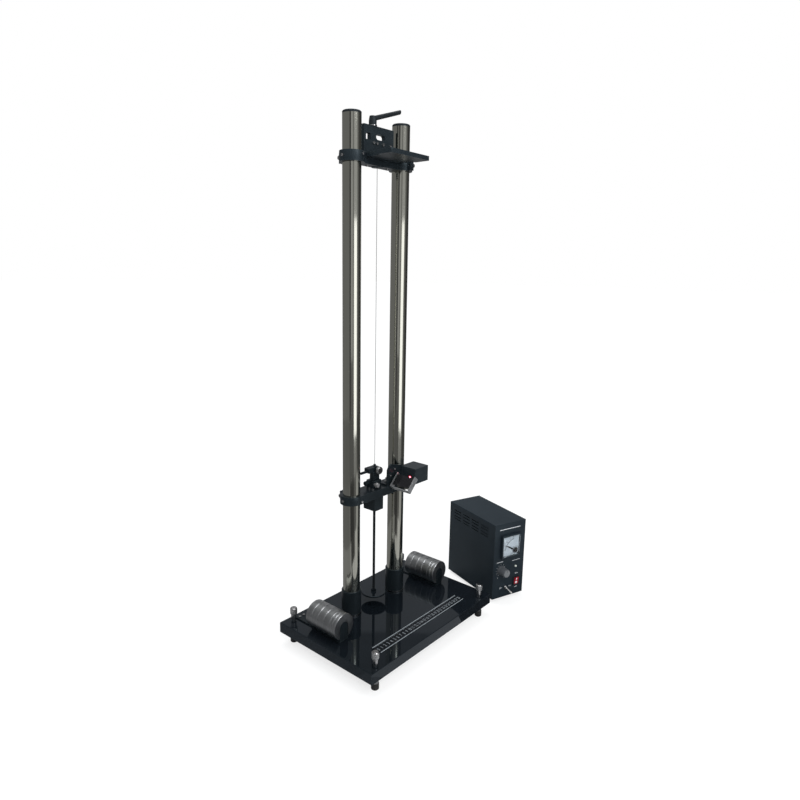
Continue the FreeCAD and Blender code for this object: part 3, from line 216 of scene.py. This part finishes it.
def add_stage():
    add_world()
    add_floor()
    near, far, wall = 0.55, 1.1, 2.2
    low, top = FLOOR + 0.001, 3.2
    # Upright cards at the wall's radius: first and last degree, bottom and top height, grey.
    walls = [
        (-155, -24, low, top, 0.17),
        (-24, -8, low, top, 0.05),
        (-8, 15, 0.30, top, 0.34),
        (-8, 15, low, 0.30, 0.13),
        (15, 30, 0.10, top, 0.20),
        (15, 30, low, 0.10, 0.12),
        (33, 68, low, 1.06, 1.5),
        (30, 70, 1.06, 1.62, 0.38),
        (44, 62, 1.66, 2.7, 6.0),
        (70, 84, low, top, 0.22),
        (84, 104, low, top, 0.10),
        (104, 155, low, top, 0.04),
        (155, 205, low, 1.45, 0.30),
        (155, 205, 1.45, top, 0.16),
    ]
    for i, (first, last, bottom, height, grey) in enumerate(walls):
        add_card(f"wall_card_{i}", first, last, (wall, bottom), (wall, height), grey)
    # Cards that lie on the floor: first and last degree, inner and outer radius, grey.
    tables = [
        (-150, -24, far, wall, 0.13),
        (-24, 15, far, wall, 0.11),
        (15, 30, far, wall, 0.10),
        (33, 68, 1.73, wall, 1.5),
        (30, 70, far, 1.73, 0.24),
        (70, 84, far, wall, 0.13),
        (84, 150, far, wall, 0.06),
        (150, 210, 0.0, wall, 0.30),
        (-150, -24, near, far, 0.14),
        (-24, -18, near, far, 0.20),
        (-18, -8, near, far, 0.045),
        (-8, 30, near, far, 0.045),
        (30, 60, near, far, 0.11),
        (60, 100, near, far, 0.36),
        (100, 150, near, far, 0.04),
        (-150, -24, 0.0, near, 0.21),
        (-24, -8, 0.0, near, 0.27),
        (-8, 30, 0.38, near, 0.055),
        (30, 45, 0.38, near, 0.17),
        (-8, 8, 0.0, 0.38, 0.29),
        (8, 45, 0.0, 0.38, 0.47),
        (45, 88, 0.0, near, 0.50),
        (88, 150, 0.0, near, 0.04),
    ]
    for i, (first, last, inner, outer, grey) in enumerate(tables):
        add_card(f"table_card_{i}", first, last, (inner, low), (outer, low), grey)
    add_lamp("key", (-1.6, -2.2, 2.3), (0, 0, 0.4), (1.4, 1.4), 60)
    add_lamp("fill", (2.4, -1.6, 1.8), (0, 0, 0.4), (1.2, 1.6), 25)
    add_lamp("top", (0.2, 0.6, 3.2), (0, 0, 0.2), (1.8, 1.8), 45)


# Materials


def noise(tree, place, scale, detail=4.0, stretch=(1, 1, 1)):
    """A cloudy pattern, finer for a larger scale and longer along the axes where `stretch` is small."""
    mapped = add(tree, "ShaderNodeMapping", Vector=place, Scale=stretch)
    node = add(tree, "ShaderNodeTexNoise", Vector=mapped.outputs[0], Scale=scale, Detail=detail)
    return node.outputs[0]


def ranged(tree, value, low, high, first=0.3, last=0.7):
    """A value that runs from `low` to `high` while the given one runs from `first` to `last`."""
    node = tree.nodes.new("ShaderNodeMapRange")
    tree.links.new(value, node.inputs["Value"])
    for key, number in {"From Min": first, "From Max": last, "To Min": low, "To Max": high}.items():
        node.inputs[key].default_value = number
    return node.outputs[0]


def mixed(tree, factor, first, last):
    """A colour between two, each given as a colour or a socket."""
    node = tree.nodes.new("ShaderNodeMix")
    node.data_type = "RGBA"
    tree.links.new(factor, node.inputs["Factor"])
    for socket, colour in zip((node.inputs[6], node.inputs[7]), (first, last)):
        if isinstance(colour, bpy.types.NodeSocket):
            tree.links.new(colour, socket)
        else:
            socket.default_value = (*colour, 1)
    return node.outputs[2]


# How far in from an edge its paler colour reaches, in metres: partly wear, partly a painted highlight along
# the edges
EDGE_WEAR_AND_SHEEN = 0.0007


def surface(name, colours, roughs, metallic=0.0, cloud=30.0, grain=700.0, relief=0.0,
            stretch=(1, 1, 1), edge_wear_and_sheen=None, specular=0.5, tint=(1, 1, 1)):
    """A surface whose colour drifts between two tones and whose roughness and relief follow a grain.
    `cloud` and `grain` are the scales of the two patterns, and the edge colour that shows along the edges,
    stronger in patches, is partly wear and partly a painted highlight."""
    material = bpy.data.materials.new(name)
    tree = nodes_of(material)
    place = tree.nodes.new("ShaderNodeTexCoord").outputs["Object"]
    tone = ranged(tree, noise(tree, place, cloud, 5.0, stretch), 0.0, 1.0)
    fine = noise(tree, place, grain, 3.0, stretch)
    colour = mixed(tree, tone, *colours)
    shader = add(tree, "ShaderNodeBsdfPrincipled", Metallic=metallic)
    shader.inputs["Specular IOR Level"].default_value = specular
    shader.inputs["Specular Tint"].default_value = (*tint, 1)
    rough = ranged(tree, fine, *roughs)
    # Paler edges, stronger in patches: partly wear, partly a painted highlight along the edges.
    if edge_wear_and_sheen:
        soft = add(tree, "ShaderNodeBevel", Radius=EDGE_WEAR_AND_SHEEN)
        soft.samples = 4
        plain = tree.nodes.new("ShaderNodeNewGeometry").outputs["Normal"]
        dot = add(tree, "ShaderNodeVectorMath", operation="DOT_PRODUCT")
        tree.links.new(soft.outputs[0], dot.inputs[0])
        tree.links.new(plain, dot.inputs[1])
        edge = ranged(tree, dot.outputs["Value"], 1.0, 0.0, 0.75, 0.97)
        patchy = ranged(tree, noise(tree, place, 260.0), 0.25, 1.0)
        colour = mixed(tree, math_node(tree, "MULTIPLY", edge, patchy), colour, edge_wear_and_sheen)
    tree.links.new(colour, shader.inputs["Base Color"])
    tree.links.new(rough, shader.inputs["Roughness"])
    if relief:
        bump = add(tree, "ShaderNodeBump", Height=fine, Distance=relief)
        tree.links.new(bump.outputs[0], shader.inputs["Normal"])
    output = tree.nodes.new("ShaderNodeOutputMaterial")
    tree.links.new(shader.outputs[0], output.inputs["Surface"])
    return material


# The edge colours given below are partly wear and partly painted highlights along the edges.
BLACK_GLOSS = surface("gloss_black_paint", ((0.004, 0.006, 0.008), (0.007, 0.009, 0.012)),
                      (0.02, 0.06), cloud=6, grain=60, edge_wear_and_sheen=(0.05, 0.06, 0.065), tint=(0.70, 0.88, 1.0))
ANODISED = surface("black_anodised", ((0.011, 0.016, 0.020), (0.017, 0.023, 0.028)),
                   (0.30, 0.45), grain=2500, relief=0.00002, edge_wear_and_sheen=(0.07, 0.085, 0.095),
                   specular=0.36, tint=(0.76, 0.93, 1.0))
BLACK_PART = surface("black_part", ((0.007, 0.010, 0.012), (0.011, 0.015, 0.018)),
                     (0.22, 0.36), grain=2500, relief=0.00002, edge_wear_and_sheen=(0.07, 0.085, 0.095),
                     specular=0.36, tint=(0.76, 0.93, 1.0))
CASE = surface("laser_case_black", ((0.014, 0.019, 0.023), (0.020, 0.026, 0.030)),
               (0.30, 0.42), cloud=20, grain=2500, relief=0.00002, edge_wear_and_sheen=(0.07, 0.08, 0.09),
               specular=0.4, tint=(0.82, 0.95, 1.0))
SHEET = surface("bright_sheet", ((0.30, 0.31, 0.32), (0.40, 0.41, 0.42)), (0.25, 0.38), metallic=0.7,
                cloud=60, grain=1400, stretch=(1, 0.1, 1), edge_wear_and_sheen=(0.9, 0.9, 0.9))
DARK_RING = surface("ring_steel", ((0.20, 0.21, 0.22), (0.28, 0.29, 0.30)), (0.2, 0.35), metallic=1.0)
POLISHED = surface("polished_stainless", ((0.60, 0.600, 0.520), (0.66, 0.660, 0.580)),
                   (0.05, 0.11), metallic=1.0, cloud=90, grain=1500, stretch=(1, 1, 0.02))
BRIGHT = surface("bright_steel", ((0.62, 0.62, 0.62), (0.78, 0.78, 0.78)),
                 (0.12, 0.30), metallic=1.0, grain=1500)
SATIN = surface("satin_steel", ((0.38, 0.395, 0.40), (0.50, 0.515, 0.52)),
                (0.28, 0.44), metallic=1.0, cloud=120, grain=1200, relief=0.00002,
                stretch=(0.08, 1, 0.08), edge_wear_and_sheen=(0.85, 0.85, 0.82))
PLASTIC = surface("black_plastic", ((0.009, 0.011, 0.013), (0.015, 0.018, 0.021)),
                  (0.42, 0.55), grain=2200, relief=0.00003, specular=0.35, tint=(0.8, 0.94, 1.0))
GLOSS_PLASTIC = surface("gloss_black_plastic", ((0.008, 0.008, 0.009), (0.014, 0.014, 0.016)),
                        (0.10, 0.22), grain=500)
RUBBER = surface("rubber", ((0.010, 0.010, 0.010), (0.022, 0.022, 0.022)), (0.6, 0.8),
                 grain=1800, relief=0.00005)
BRONZE = surface("bronze", ((0.45, 0.30, 0.14), (0.60, 0.42, 0.20)), (0.25, 0.4), metallic=1.0)
POWDER = surface("powder_black", ((0.010, 0.016, 0.022), (0.0145, 0.0215, 0.028)), (0.40, 0.55),
                 cloud=14, grain=2600, relief=0.00004, edge_wear_and_sheen=(0.05, 0.06, 0.065),
                 specular=0.4, tint=(0.74, 0.92, 1.0))
PANEL = surface("panel_black", ((0.009, 0.015, 0.021), (0.013, 0.020, 0.027)), (0.38, 0.48),
                cloud=20, grain=2200, relief=0.00002, tint=(0.80, 0.94, 1.0))
STRIP = surface("printed_strip", ((0.005, 0.007, 0.009), (0.008, 0.010, 0.013)), (0.12, 0.22), grain=300,
                specular=0.15)
MIRROR = surface("front_silvered_mirror", ((0.84, 0.84, 0.85), (0.88, 0.88, 0.88)), (0.01, 0.03),
                 metallic=1.0, grain=80)
RED = surface("red_plastic", ((0.24, 0.008, 0.018), (0.33, 0.014, 0.028)), (0.15, 0.3), grain=300)
PALE_METAL = surface("nickel_plate", ((0.66, 0.66, 0.64), (0.80, 0.80, 0.78)), (0.2, 0.35), metallic=0.35)
IRON = surface("core_steel", ((0.14, 0.13, 0.12), (0.24, 0.22, 0.20)), (0.5, 0.75), metallic=0.6)
PALE_KNOB = surface("grey_plastic", ((0.060, 0.066, 0.073), (0.082, 0.089, 0.098)), (0.3, 0.45))
CAP = surface("knob_cap", ((0.18, 0.19, 0.20), (0.22, 0.23, 0.24)), (0.3, 0.42), metallic=0.3)
LAMP = surface("lamp_lens", ((0.62, 0.68, 0.62), (0.74, 0.78, 0.72)), (0.1, 0.2))
DIAL = surface("dial_card", ((0.37, 0.43, 0.49), (0.43, 0.49, 0.54)), (0.5, 0.6), cloud=60)
INK = surface("print_black", ((0.007, 0.008, 0.009), (0.013, 0.013, 0.015)), (0.4, 0.5), specular=0.1)
DIM_PRINT = surface("print_dim", ((0.20, 0.225, 0.245), (0.27, 0.295, 0.315)), (0.35, 0.5), cloud=200)
WHITE_PRINT = surface("print_white", ((0.62, 0.64, 0.66), (0.74, 0.76, 0.78)), (0.35, 0.5), cloud=200)
WIRE = surface("steel_wire", ((0.03, 0.03, 0.03), (0.05, 0.05, 0.05)), (0.45, 0.60), specular=0.15)
ROD_BLACK = surface("rod_black", ((0.006, 0.008, 0.009), (0.010, 0.012, 0.014)), (0.35, 0.5), specular=0.2)
KNURL = surface("knurled_steel", ((0.48, 0.49, 0.49), (0.62, 0.63, 0.63)), (0.18, 0.34), metallic=0.9)


def add_glass():
    """The clear sheet in front of the meter."""
    material = bpy.data.materials.new("clear_window")
    tree = nodes_of(material)
    place = tree.nodes.new("ShaderNodeTexCoord").outputs["Object"]
    rough = ranged(tree, noise(tree, place, 120.0), 0.0, 0.03)
    shader = add(tree, "ShaderNodeBsdfPrincipled", IOR=1.2)
    shader.inputs["Base Color"].default_value = (0.97, 0.98, 0.98, 1)
    shader.inputs["Transmission Weight"].default_value = 1.0
    tree.links.new(rough, shader.inputs["Roughness"])
    output = tree.nodes.new("ShaderNodeOutputMaterial")
    tree.links.new(shader.outputs[0], output.inputs["Surface"])
    return material


CLEAR = add_glass()

CAD_MATERIALS = {
    BLACK_GLOSS: ["base_plate", "hanger_pan"],
    ROD_BLACK: ["hanger_rod"],
    DARK_RING: ["post_rings"],
    ANODISED: ["upper_beam", "upper_shelf", "upper_plate", "upper_chuck"],
    BLACK_PART: ["post_sockets", "wire_clamp", "lower_beam", "guide_box", "guide_block", "mirror_arm",
                 "laser_bracket", "weight_rails", "lock_knob", "laser_nozzle", "clamp_side_screw"],
    CASE: ["laser_case"],
    SHEET: ["stirrup"],
    POLISHED: ["post_left", "post_right"],
    BRIGHT: ["levelling_screw_front_left", "levelling_screw_front_right", "levelling_screw_back_left",
             "levelling_screw_back_right", "clamp_thumbscrew", "fine_knob",
             "small_screws", "toggle_bushing", "post_bolts", "wire", "beam_fasteners"],
    PALE_METAL: ["toggle_lever"],
    SATIN: ["large_weights_left", "large_weights_right", "small_weights_left", "small_weights_right",
            "foot_collars"],
    PLASTIC: ["clamp_lever", "mains_inlet", "rocker_bezel", "post_caps"],
    GLOSS_PLASTIC: ["mirror_block"],
    INK: ["meter_needle"],
    RUBBER: ["foot_pads", "box_feet"],
    BRONZE: ["guide_bush"],
    POWDER: ["box_cover", "box_chassis"],
    PANEL: ["front_panel", "meter_case"],
    STRIP: ["scale_strip"],
    MIRROR: ["mirror_glass"],
    RED: ["rocker"],
    IRON: ["transformer"],
    PALE_KNOB: ["control_knob"],
    LAMP: ["indicator_lamp"],
    CLEAR: ["meter_window"],
}


def dress_cad_nodes():
    """Gives each CAD piece its surface."""
    for material, names in CAD_MATERIALS.items():
        for name in names:
            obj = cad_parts[name]
            obj.data.materials.clear()
            obj.data.materials.append(material)


# Pieces added around the frame's: print, knurling, the laser's light and the wire

# The supply box's turn about Z, and its lower left front corner
BOX_TURN = math.radians(-19.2)
BOX_AT = Vector((255, -115.9, -20)) * MM

# Places on the supply box's front, in millimetres across and up from that corner
METER_HUB = (63.0, 122.7)
KNOB_AT = (24.0, 75.0)
ROCKER_AT = (74.5, 35.5)

# The lower and upper level of print on a surface, in millimetres
THIN_PRINT = (0.0, 0.06)
THICK_PRINT = (0.0, 0.08)


def in_box(x, y, z):
    """A point given from the supply box's lower left front corner, in the object's frame."""
    c, s = math.cos(BOX_TURN), math.sin(BOX_TURN)
    return BOX_AT + Vector((c * x - s * y, s * x + c * y, z)) * MM


def in_frame(x, y, z):
    """A point given in millimetres in the object's frame."""
    return Vector((x, y, z)) * MM


def plate(name, outlines, depth, place, material, body="root"):
    """Flat raised pieces in one mesh. Each outline is a closed ring of (u, v), `place` maps (u, v, depth)
    to the frame, and `depth` is the (lower, upper) level of the plate."""
    vertices, faces = [], []
    for ring in outlines:
        start, count = len(vertices), len(ring)
        for level in depth:
            vertices += [place(u, v, level) for u, v in ring]
        faces.append([start + count + i for i in range(count)])
        faces.append([start + i for i in reversed(range(count))])
        for i in range(count):
            j = (i + 1) % count
            faces.append([start + i, start + j, start + count + j, start + count + i])
    obj = mesh_object(name, vertices, faces, material)
    bm = bmesh.new()
    bm.from_mesh(obj.data)
    bmesh.ops.recalc_face_normals(bm, faces=bm.faces)
    bm.to_mesh(obj.data)
    bm.free()
    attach(obj, body)


def bar(x0, y0, x1, y1, width):
    """A straight mark from one point to another."""
    dx, dy = x1 - x0, y1 - y0
    length = math.hypot(dx, dy)
    nx, ny = -dy / length * width / 2, dx / length * width / 2
    return [(x0 - nx, y0 - ny), (x1 - nx, y1 - ny), (x1 + nx, y1 + ny), (x0 + nx, y0 + ny)]


def circle(x, y, radius, count, first=0.0, last=360.0):
    """The points of a circle, or of an arc with both its ends."""
    points = count if last - first == 360 else count + 1
    angles = [math.radians(first + (last - first) * i / count) for i in range(points)]
    return [(x + radius * math.cos(a), y + radius * math.sin(a)) for a in angles]


def tick(x, y, degrees, inner, outer, width):
    """A straight mark that points away from (x, y)."""
    a = math.radians(degrees)
    c, s = math.cos(a), math.sin(a)
    return bar(x + inner * c, y + inner * s, x + outer * c, y + outer * s, width)


def band(x, y, radius, width, first, last, count):
    """An arc-shaped mark."""
    outer = circle(x, y, radius + width / 2, count, first, last)
    inner = circle(x, y, radius - width / 2, count, first, last)
    return outer + inner[::-1]


def lettering(name, items, height, depth, place, material, body="root", squeeze=1.0):
    """Plain figures or a generic word: each item is (text, u, v of its middle)."""
    vertices, faces = [], []
    for text, u, v in items:
        curve = bpy.data.curves.new("figure", "FONT")
        curve.body = text
        curve.size = height
        curve.align_x, curve.align_y = "CENTER", "CENTER"
        curve.resolution_u = 2
        curve.extrude = (depth[1] - depth[0]) / 2
        figure = bpy.data.objects.new("figure", curve)
        scene.collection.objects.link(figure)
        graph = bpy.context.evaluated_depsgraph_get()
        mesh = bpy.data.meshes.new_from_object(figure.evaluated_get(graph))
        start = len(vertices)
        middle = (depth[0] + depth[1]) / 2
        vertices += [place(u + p.co.x * squeeze, v + p.co.y, middle + p.co.z) for p in mesh.vertices]
        faces += [[start + i for i in face.vertices] for face in mesh.polygons]
        bpy.data.objects.remove(figure)
        bpy.data.curves.remove(curve)
        bpy.data.meshes.remove(mesh)
    obj = mesh_object(name, vertices, faces, material)
    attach(obj, body)


def add_strip_marks():
    """Two rules along the strip, and a plain centimetre scale between them."""
    low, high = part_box("scale_strip")
    top = high.z / MM

    def place(u, v, level):
        return in_frame(u, v, top + level)

    x0, x1, y0, y1 = low.x / MM, high.x / MM, low.y / MM, high.y / MM
    middle = (x0 + x1) / 2
    rule_width, inset, half_scale, under_rule = 2.0, 1.1, 140, 2.1
    rules = [bar(x0, y, x1, y, rule_width) for y in (y0 + inset, y1 - inset)]
    marks = []
    for i in range(-half_scale, half_scale + 1, 5):
        reach = 3.4 if i % 10 == 0 else 2.0
        marks.append(bar(middle + i, y1 - under_rule, middle + i, y1 - under_rule - reach, 0.5))
    plate("strip_rules", rules, THICK_PRINT, place, DIM_PRINT)
    plate("strip_ticks", marks, THIN_PRINT, place, DIM_PRINT)
    line, height, squeeze = (y0 + y1) / 2 - 1.6, 13.0, 0.58
    figures = [(str(i), middle - half_scale + 10 * i, line) for i in range(2 * half_scale // 10 + 1)]
    lettering("strip_figures", figures, height, THIN_PRINT, place, DIM_PRINT, squeeze=squeeze)


def tube_faces(rings, sides):
    """The faces between rings of vertices that follow one another along a tube."""
    faces = []
    for k in range(rings - 1):
        for i in range(sides):
            j = (i + 1) % sides
            faces.append([k * sides + i, k * sides + j, (k + 1) * sides + j, (k + 1) * sides + i])
    return faces


def add_wire():
    """The wire under test, a thin tube between the chuck and the clamp."""
    low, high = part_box("wire")
    x, y = (low.x + high.x) / 2, (low.y + high.y) / 2
    radius, sides, rings = (high.x - low.x) / 2, 12, 9
    vertices = []
    for k in range(rings):
        z = low.z + (high.z - low.z) * k / (rings - 1)
        for i in range(sides):
            a = math.tau * i / sides
            vertices.append((x + radius * math.cos(a), y + radius * math.sin(a), z))
    faces = tube_faces(rings, sides)
    faces.append(list(range(sides))[::-1])
    faces.append([(rings - 1) * sides + i for i in range(sides)])
    obj = mesh_object("steel_wire", vertices, faces, WIRE, smooth=True)
    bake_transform(obj)
    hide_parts("wire")


def knurled(name, body, centre, axis, radius, length, count, rows, relief):
    """A sleeve of crossed ridges round a grip, from `centre` along `axis` to each side. The ridges run out
    over the last rows at both ends, and the sleeve keeps a least part of its relief."""
    axis = Vector(axis).normalized()
    across = axis.orthogonal().normalized()
    other = axis.cross(across)
    columns = count * 4
    run_out, least = 1.5, 0.15
    vertices = []
    for k in range(rows + 1):
        t = k / rows
        for i in range(columns):
            a = math.tau * i / columns
            turn = count * a
            rise = t * rows * math.pi / 4
            ridge = (abs(math.sin((turn + rise) / 2)) + abs(math.sin((turn - rise) / 2))) / 2
            fade = min(1.0, t * rows / run_out, (1 - t) * rows / run_out)
            r = radius + relief * (least + (1 - least) * ridge * fade)
            point = Vector(centre) + axis * (t - 0.5) * length
            vertices.append(point + (across * math.cos(a) + other * math.sin(a)) * r)
    obj = mesh_object(name, vertices, tube_faces(rows + 1, columns), KNURL)
    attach(obj, body)


def add_knurls():
    """The grips of the four levelling screws, of the wire clamp's thumbscrew and of the fine knob."""
    length, below_top = 12.0 * MM, 7.9 * MM
    for end in ("front", "back"):
        for side in ("left", "right"):
            low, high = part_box(f"levelling_screw_{end}_{side}")
            radius = (high.x - low.x) / 2
            centre = ((low.x + high.x) / 2, (low.y + high.y) / 2, high.z - below_top)
            knurled(f"levelling_knurl_{end}_{side}", f"{end}_{side}_screw", centre, (0, 0, 1), radius,
                    length, count=30, rows=20, relief=0.35 * MM)
    length, lip = 5.6 * MM, 1.2 * MM
    for node, body in (("clamp_thumbscrew", "thumbscrew"), ("fine_knob", "fine")):
        low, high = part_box(node)
        radius = (high.x - low.x) / 2
        centre = ((low.x + high.x) / 2, low.y + lip + length / 2, (low.z + high.z) / 2)
        knurled(f"{body}_knurl", body, centre, (0, 1, 0), radius,
                length, count=26, rows=10, relief=0.3 * MM)


def box_front(u, v, level):
    """A point on the supply box's front panel: across, up, and out from the panel."""
    return in_box(u, -level, v)


def add_meter_face():
    """The meter's card with a hole for the needle's hub, its scale and figures, and the hub's cover."""
    hub_x, hub_z = METER_HUB
    low_x, high_x, low_z, high_z, cut = 23.7, 75.3, 110.9, 162.5, 7.0
    corner = (low_x, low_z)
    outline = [corner, (high_x - cut, low_z), (high_x, low_z + cut), (high_x, high_z), (low_x, high_z)]
    hole = circle(hub_x, hub_z, 1.9, 20)
    seam = min(range(len(hole)), key=lambda i: math.dist(hole[i], corner))
    round_hole = [hole[(seam - i) % len(hole)] for i in range(len(hole) + 1)]
    back, face, ink, cover = 2.5, 2.7, 2.74, (4.9, 5.7)
    plate("meter_card", [outline + [corner] + round_hole], (back, face), box_front, DIAL)
    zero, full, arc = 172, 100, 30.5
    marks = [band(hub_x, hub_z, arc, 0.9, full, zero, 24)]
    for i in range(21):
        reach = 3.6 if i % 5 == 0 else 2.0
        marks.append(tick(hub_x, hub_z, zero - (zero - full) * i / 20, arc, arc + reach, 0.8))
    plate("meter_scale", marks, (face, ink), box_front, INK)
    across, up = 37.0, 36.5
    figures = []
    for i in range(5):
        a = math.radians(zero - (zero - full) * i / 4)
        figures.append((str(5 * i), hub_x + across * math.cos(a), hub_z + up * math.sin(a)))
    lettering("meter_figures", figures, 4.4, (face, ink), box_front, INK)
    plate("needle_cover", [circle(hub_x, hub_z, 7.2, 32)], cover, box_front, INK)


def add_needle_blade():
    """The broad painted blade of the pointer, on the needle itself."""
    hub_x, hub_z = METER_HUB
    rest = math.radians(151)
    c, s = math.cos(rest), math.sin(rest)

    def blade(u, v, level):
        return box_front(hub_x + u * c - v * s, hub_z + u * s + v * c, level)

    outline = [(0, -2.0), (24, -1.5), (34.5, -0.5), (34.5, 0.5), (24, 1.5), (0, 2.0)]
    plate("needle_blade", [outline], (3.9, 4.1), blade, INK, "needle")


def add_rocker_marks():
    """The plain on and off marks, a bar on the raised half and a ring on the other."""
    x, z = ROCKER_AT
    face, rise, half_height = 2.0, 2.2, 8.6

    def raised(u, v, level):
        return box_front(x + u, z + v, face + rise * max(v, 0.0) / half_height + level)

    plate("rocker_on_mark", [bar(0, 2.2, 0, 7.4, 2.8)], THICK_PRINT, raised, WHITE_PRINT, "power_rocker")
    ring = [band(0, -4.6, 2.2, 2.0, first, first + 90, 8) for first in (0, 90, 180, 270)]
    plate("rocker_off_mark", ring, THICK_PRINT, raised, WHITE_PRINT, "power_rocker")


def add_panel_marks():
    """The knob's scale, plain rules in place of the title and captions, and the switches' generic words."""
    knob_x, knob_z = KNOB_AT
    marks = [tick(knob_x, knob_z, 240 - 30 * i, 13.2, 15.4, 0.6) for i in range(11)]
    plate("knob_scale", marks, THIN_PRINT, box_front, WHITE_PRINT)
    rules = [bar(16, 181.5, 80, 181.5, 1.7), bar(59, 92.5, 84, 92.5, 0.9),
             bar(40, 103.4, 62, 103.4, 1.1), bar(10, 96.5, 30, 96.5, 1.3)]
    plate("panel_rules", rules, THIN_PRINT, box_front, WHITE_PRINT)
    words = [("0", knob_x - 9.5, knob_z - 19.5), ("10", knob_x + 11.0, knob_z - 19.5)]
    lettering("knob_figures", words, 4.6, THIN_PRINT, box_front, WHITE_PRINT)
    words = [("ON", 74.5, 55.5), ("OFF", 74.5, 18.0), ("ON", 55.5, 25.0), ("OFF", 25.5, 25.0)]
    lettering("switch_words", words, 5.0, THIN_PRINT, box_front, WHITE_PRINT)


def add_knob_cap():
    """The knob's pale face with its index line."""
    knob_x, knob_z = KNOB_AT
    front, cap, index = 24.0, 0.3, 0.36
    plate("knob_face", [circle(knob_x, knob_z, 8.8, 40)], (front, front + cap), box_front, CAP, "dial_knob")
    line = bar(knob_x, knob_z + 3.5, knob_x, knob_z + 8.2, 0.9)
    plate("knob_index", [line], (front + cap, front + index), box_front, INK, "dial_knob")


def add_laser_glow():
    """The lit face of the nozzle: a pale aperture in a red glow that fades outwards."""
    low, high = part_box("laser_nozzle")
    x, y, z = low.x / MM, (low.y + high.y) / 2 / MM, (low.z + high.z) / 2 / MM
    radius = 4.7
    material = bpy.data.materials.new("laser_glow")
    tree = nodes_of(material)
    place = tree.nodes.new("ShaderNodeTexCoord").outputs["Object"]
    away = add(tree, "ShaderNodeVectorMath", operation="DISTANCE")
    tree.links.new(place, away.inputs[0])
    away.inputs[1].default_value = in_frame(x, y, z)
    near = ranged(tree, away.outputs["Value"], 1.0, 0.0, 1.4 * MM, radius * MM)
    core = ranged(tree, away.outputs["Value"], 1.0, 0.0, 1.0 * MM, 3.0 * MM)
    glow = add(tree, "ShaderNodeBsdfPrincipled", Roughness=0.4)
    glow.inputs["Base Color"].default_value = (0.05, 0.01, 0.012, 1)
    tint = mixed(tree, core, (0.85, 0.015, 0.05), (1.0, 0.42, 0.50))
    tree.links.new(tint, glow.inputs["Emission Color"])
    strength = math_node(tree, "MULTIPLY", math_node(tree, "MULTIPLY", near, near), 7.0)
    tree.links.new(strength, glow.inputs["Emission Strength"])
    output = tree.nodes.new("ShaderNodeOutputMaterial")
    tree.links.new(glow.outputs[0], output.inputs["Surface"])

    def facing(u, v, level):
        return in_frame(x - level, y + u, z + v)

    plate("laser_glow", [circle(0, 0, radius, 32)], (0.02, 0.12), facing, material)


def rounded(name, width):
    """Rounds the edges of a CAD piece that are sharper than 35 degrees. The width is in millimetres."""
    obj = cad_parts[name]
    weld = obj.modifiers.new("weld", "WELD")
    weld.merge_threshold = 0.000002
    bevel = obj.modifiers.new("rounding", "BEVEL")
    bevel.width = width * MM
    bevel.segments = 2
    bevel.limit_method = "ANGLE"
    bevel.angle_limit = math.radians(35)
    bevel.use_clamp_overlap = True
    bevel.miter_outer = "MITER_SHARP"


ROUNDED_EDGES = {
    "laser_case": 0.8, "upper_shelf": 0.5, "upper_plate": 0.4, "guide_block": 0.5, "wire_clamp": 0.5,
    "guide_box": 0.5, "upper_beam": 0.4, "lower_beam": 0.4, "mirror_arm": 0.3, "box_chassis": 0.3,
    "front_panel": 0.3, "meter_case": 0.8, "mirror_block": 0.4, "laser_bracket": 0.2,
}


def round_edges():
    for name, width in ROUNDED_EDGES.items():
        rounded(name, width)


add_camera()
add_stage()
dress_cad_nodes()
round_edges()
add_strip_marks()
add_wire()
add_knurls()
add_meter_face()
add_panel_marks()
add_needle_blade()
add_rocker_marks()
add_knob_cap()
add_laser_glow()
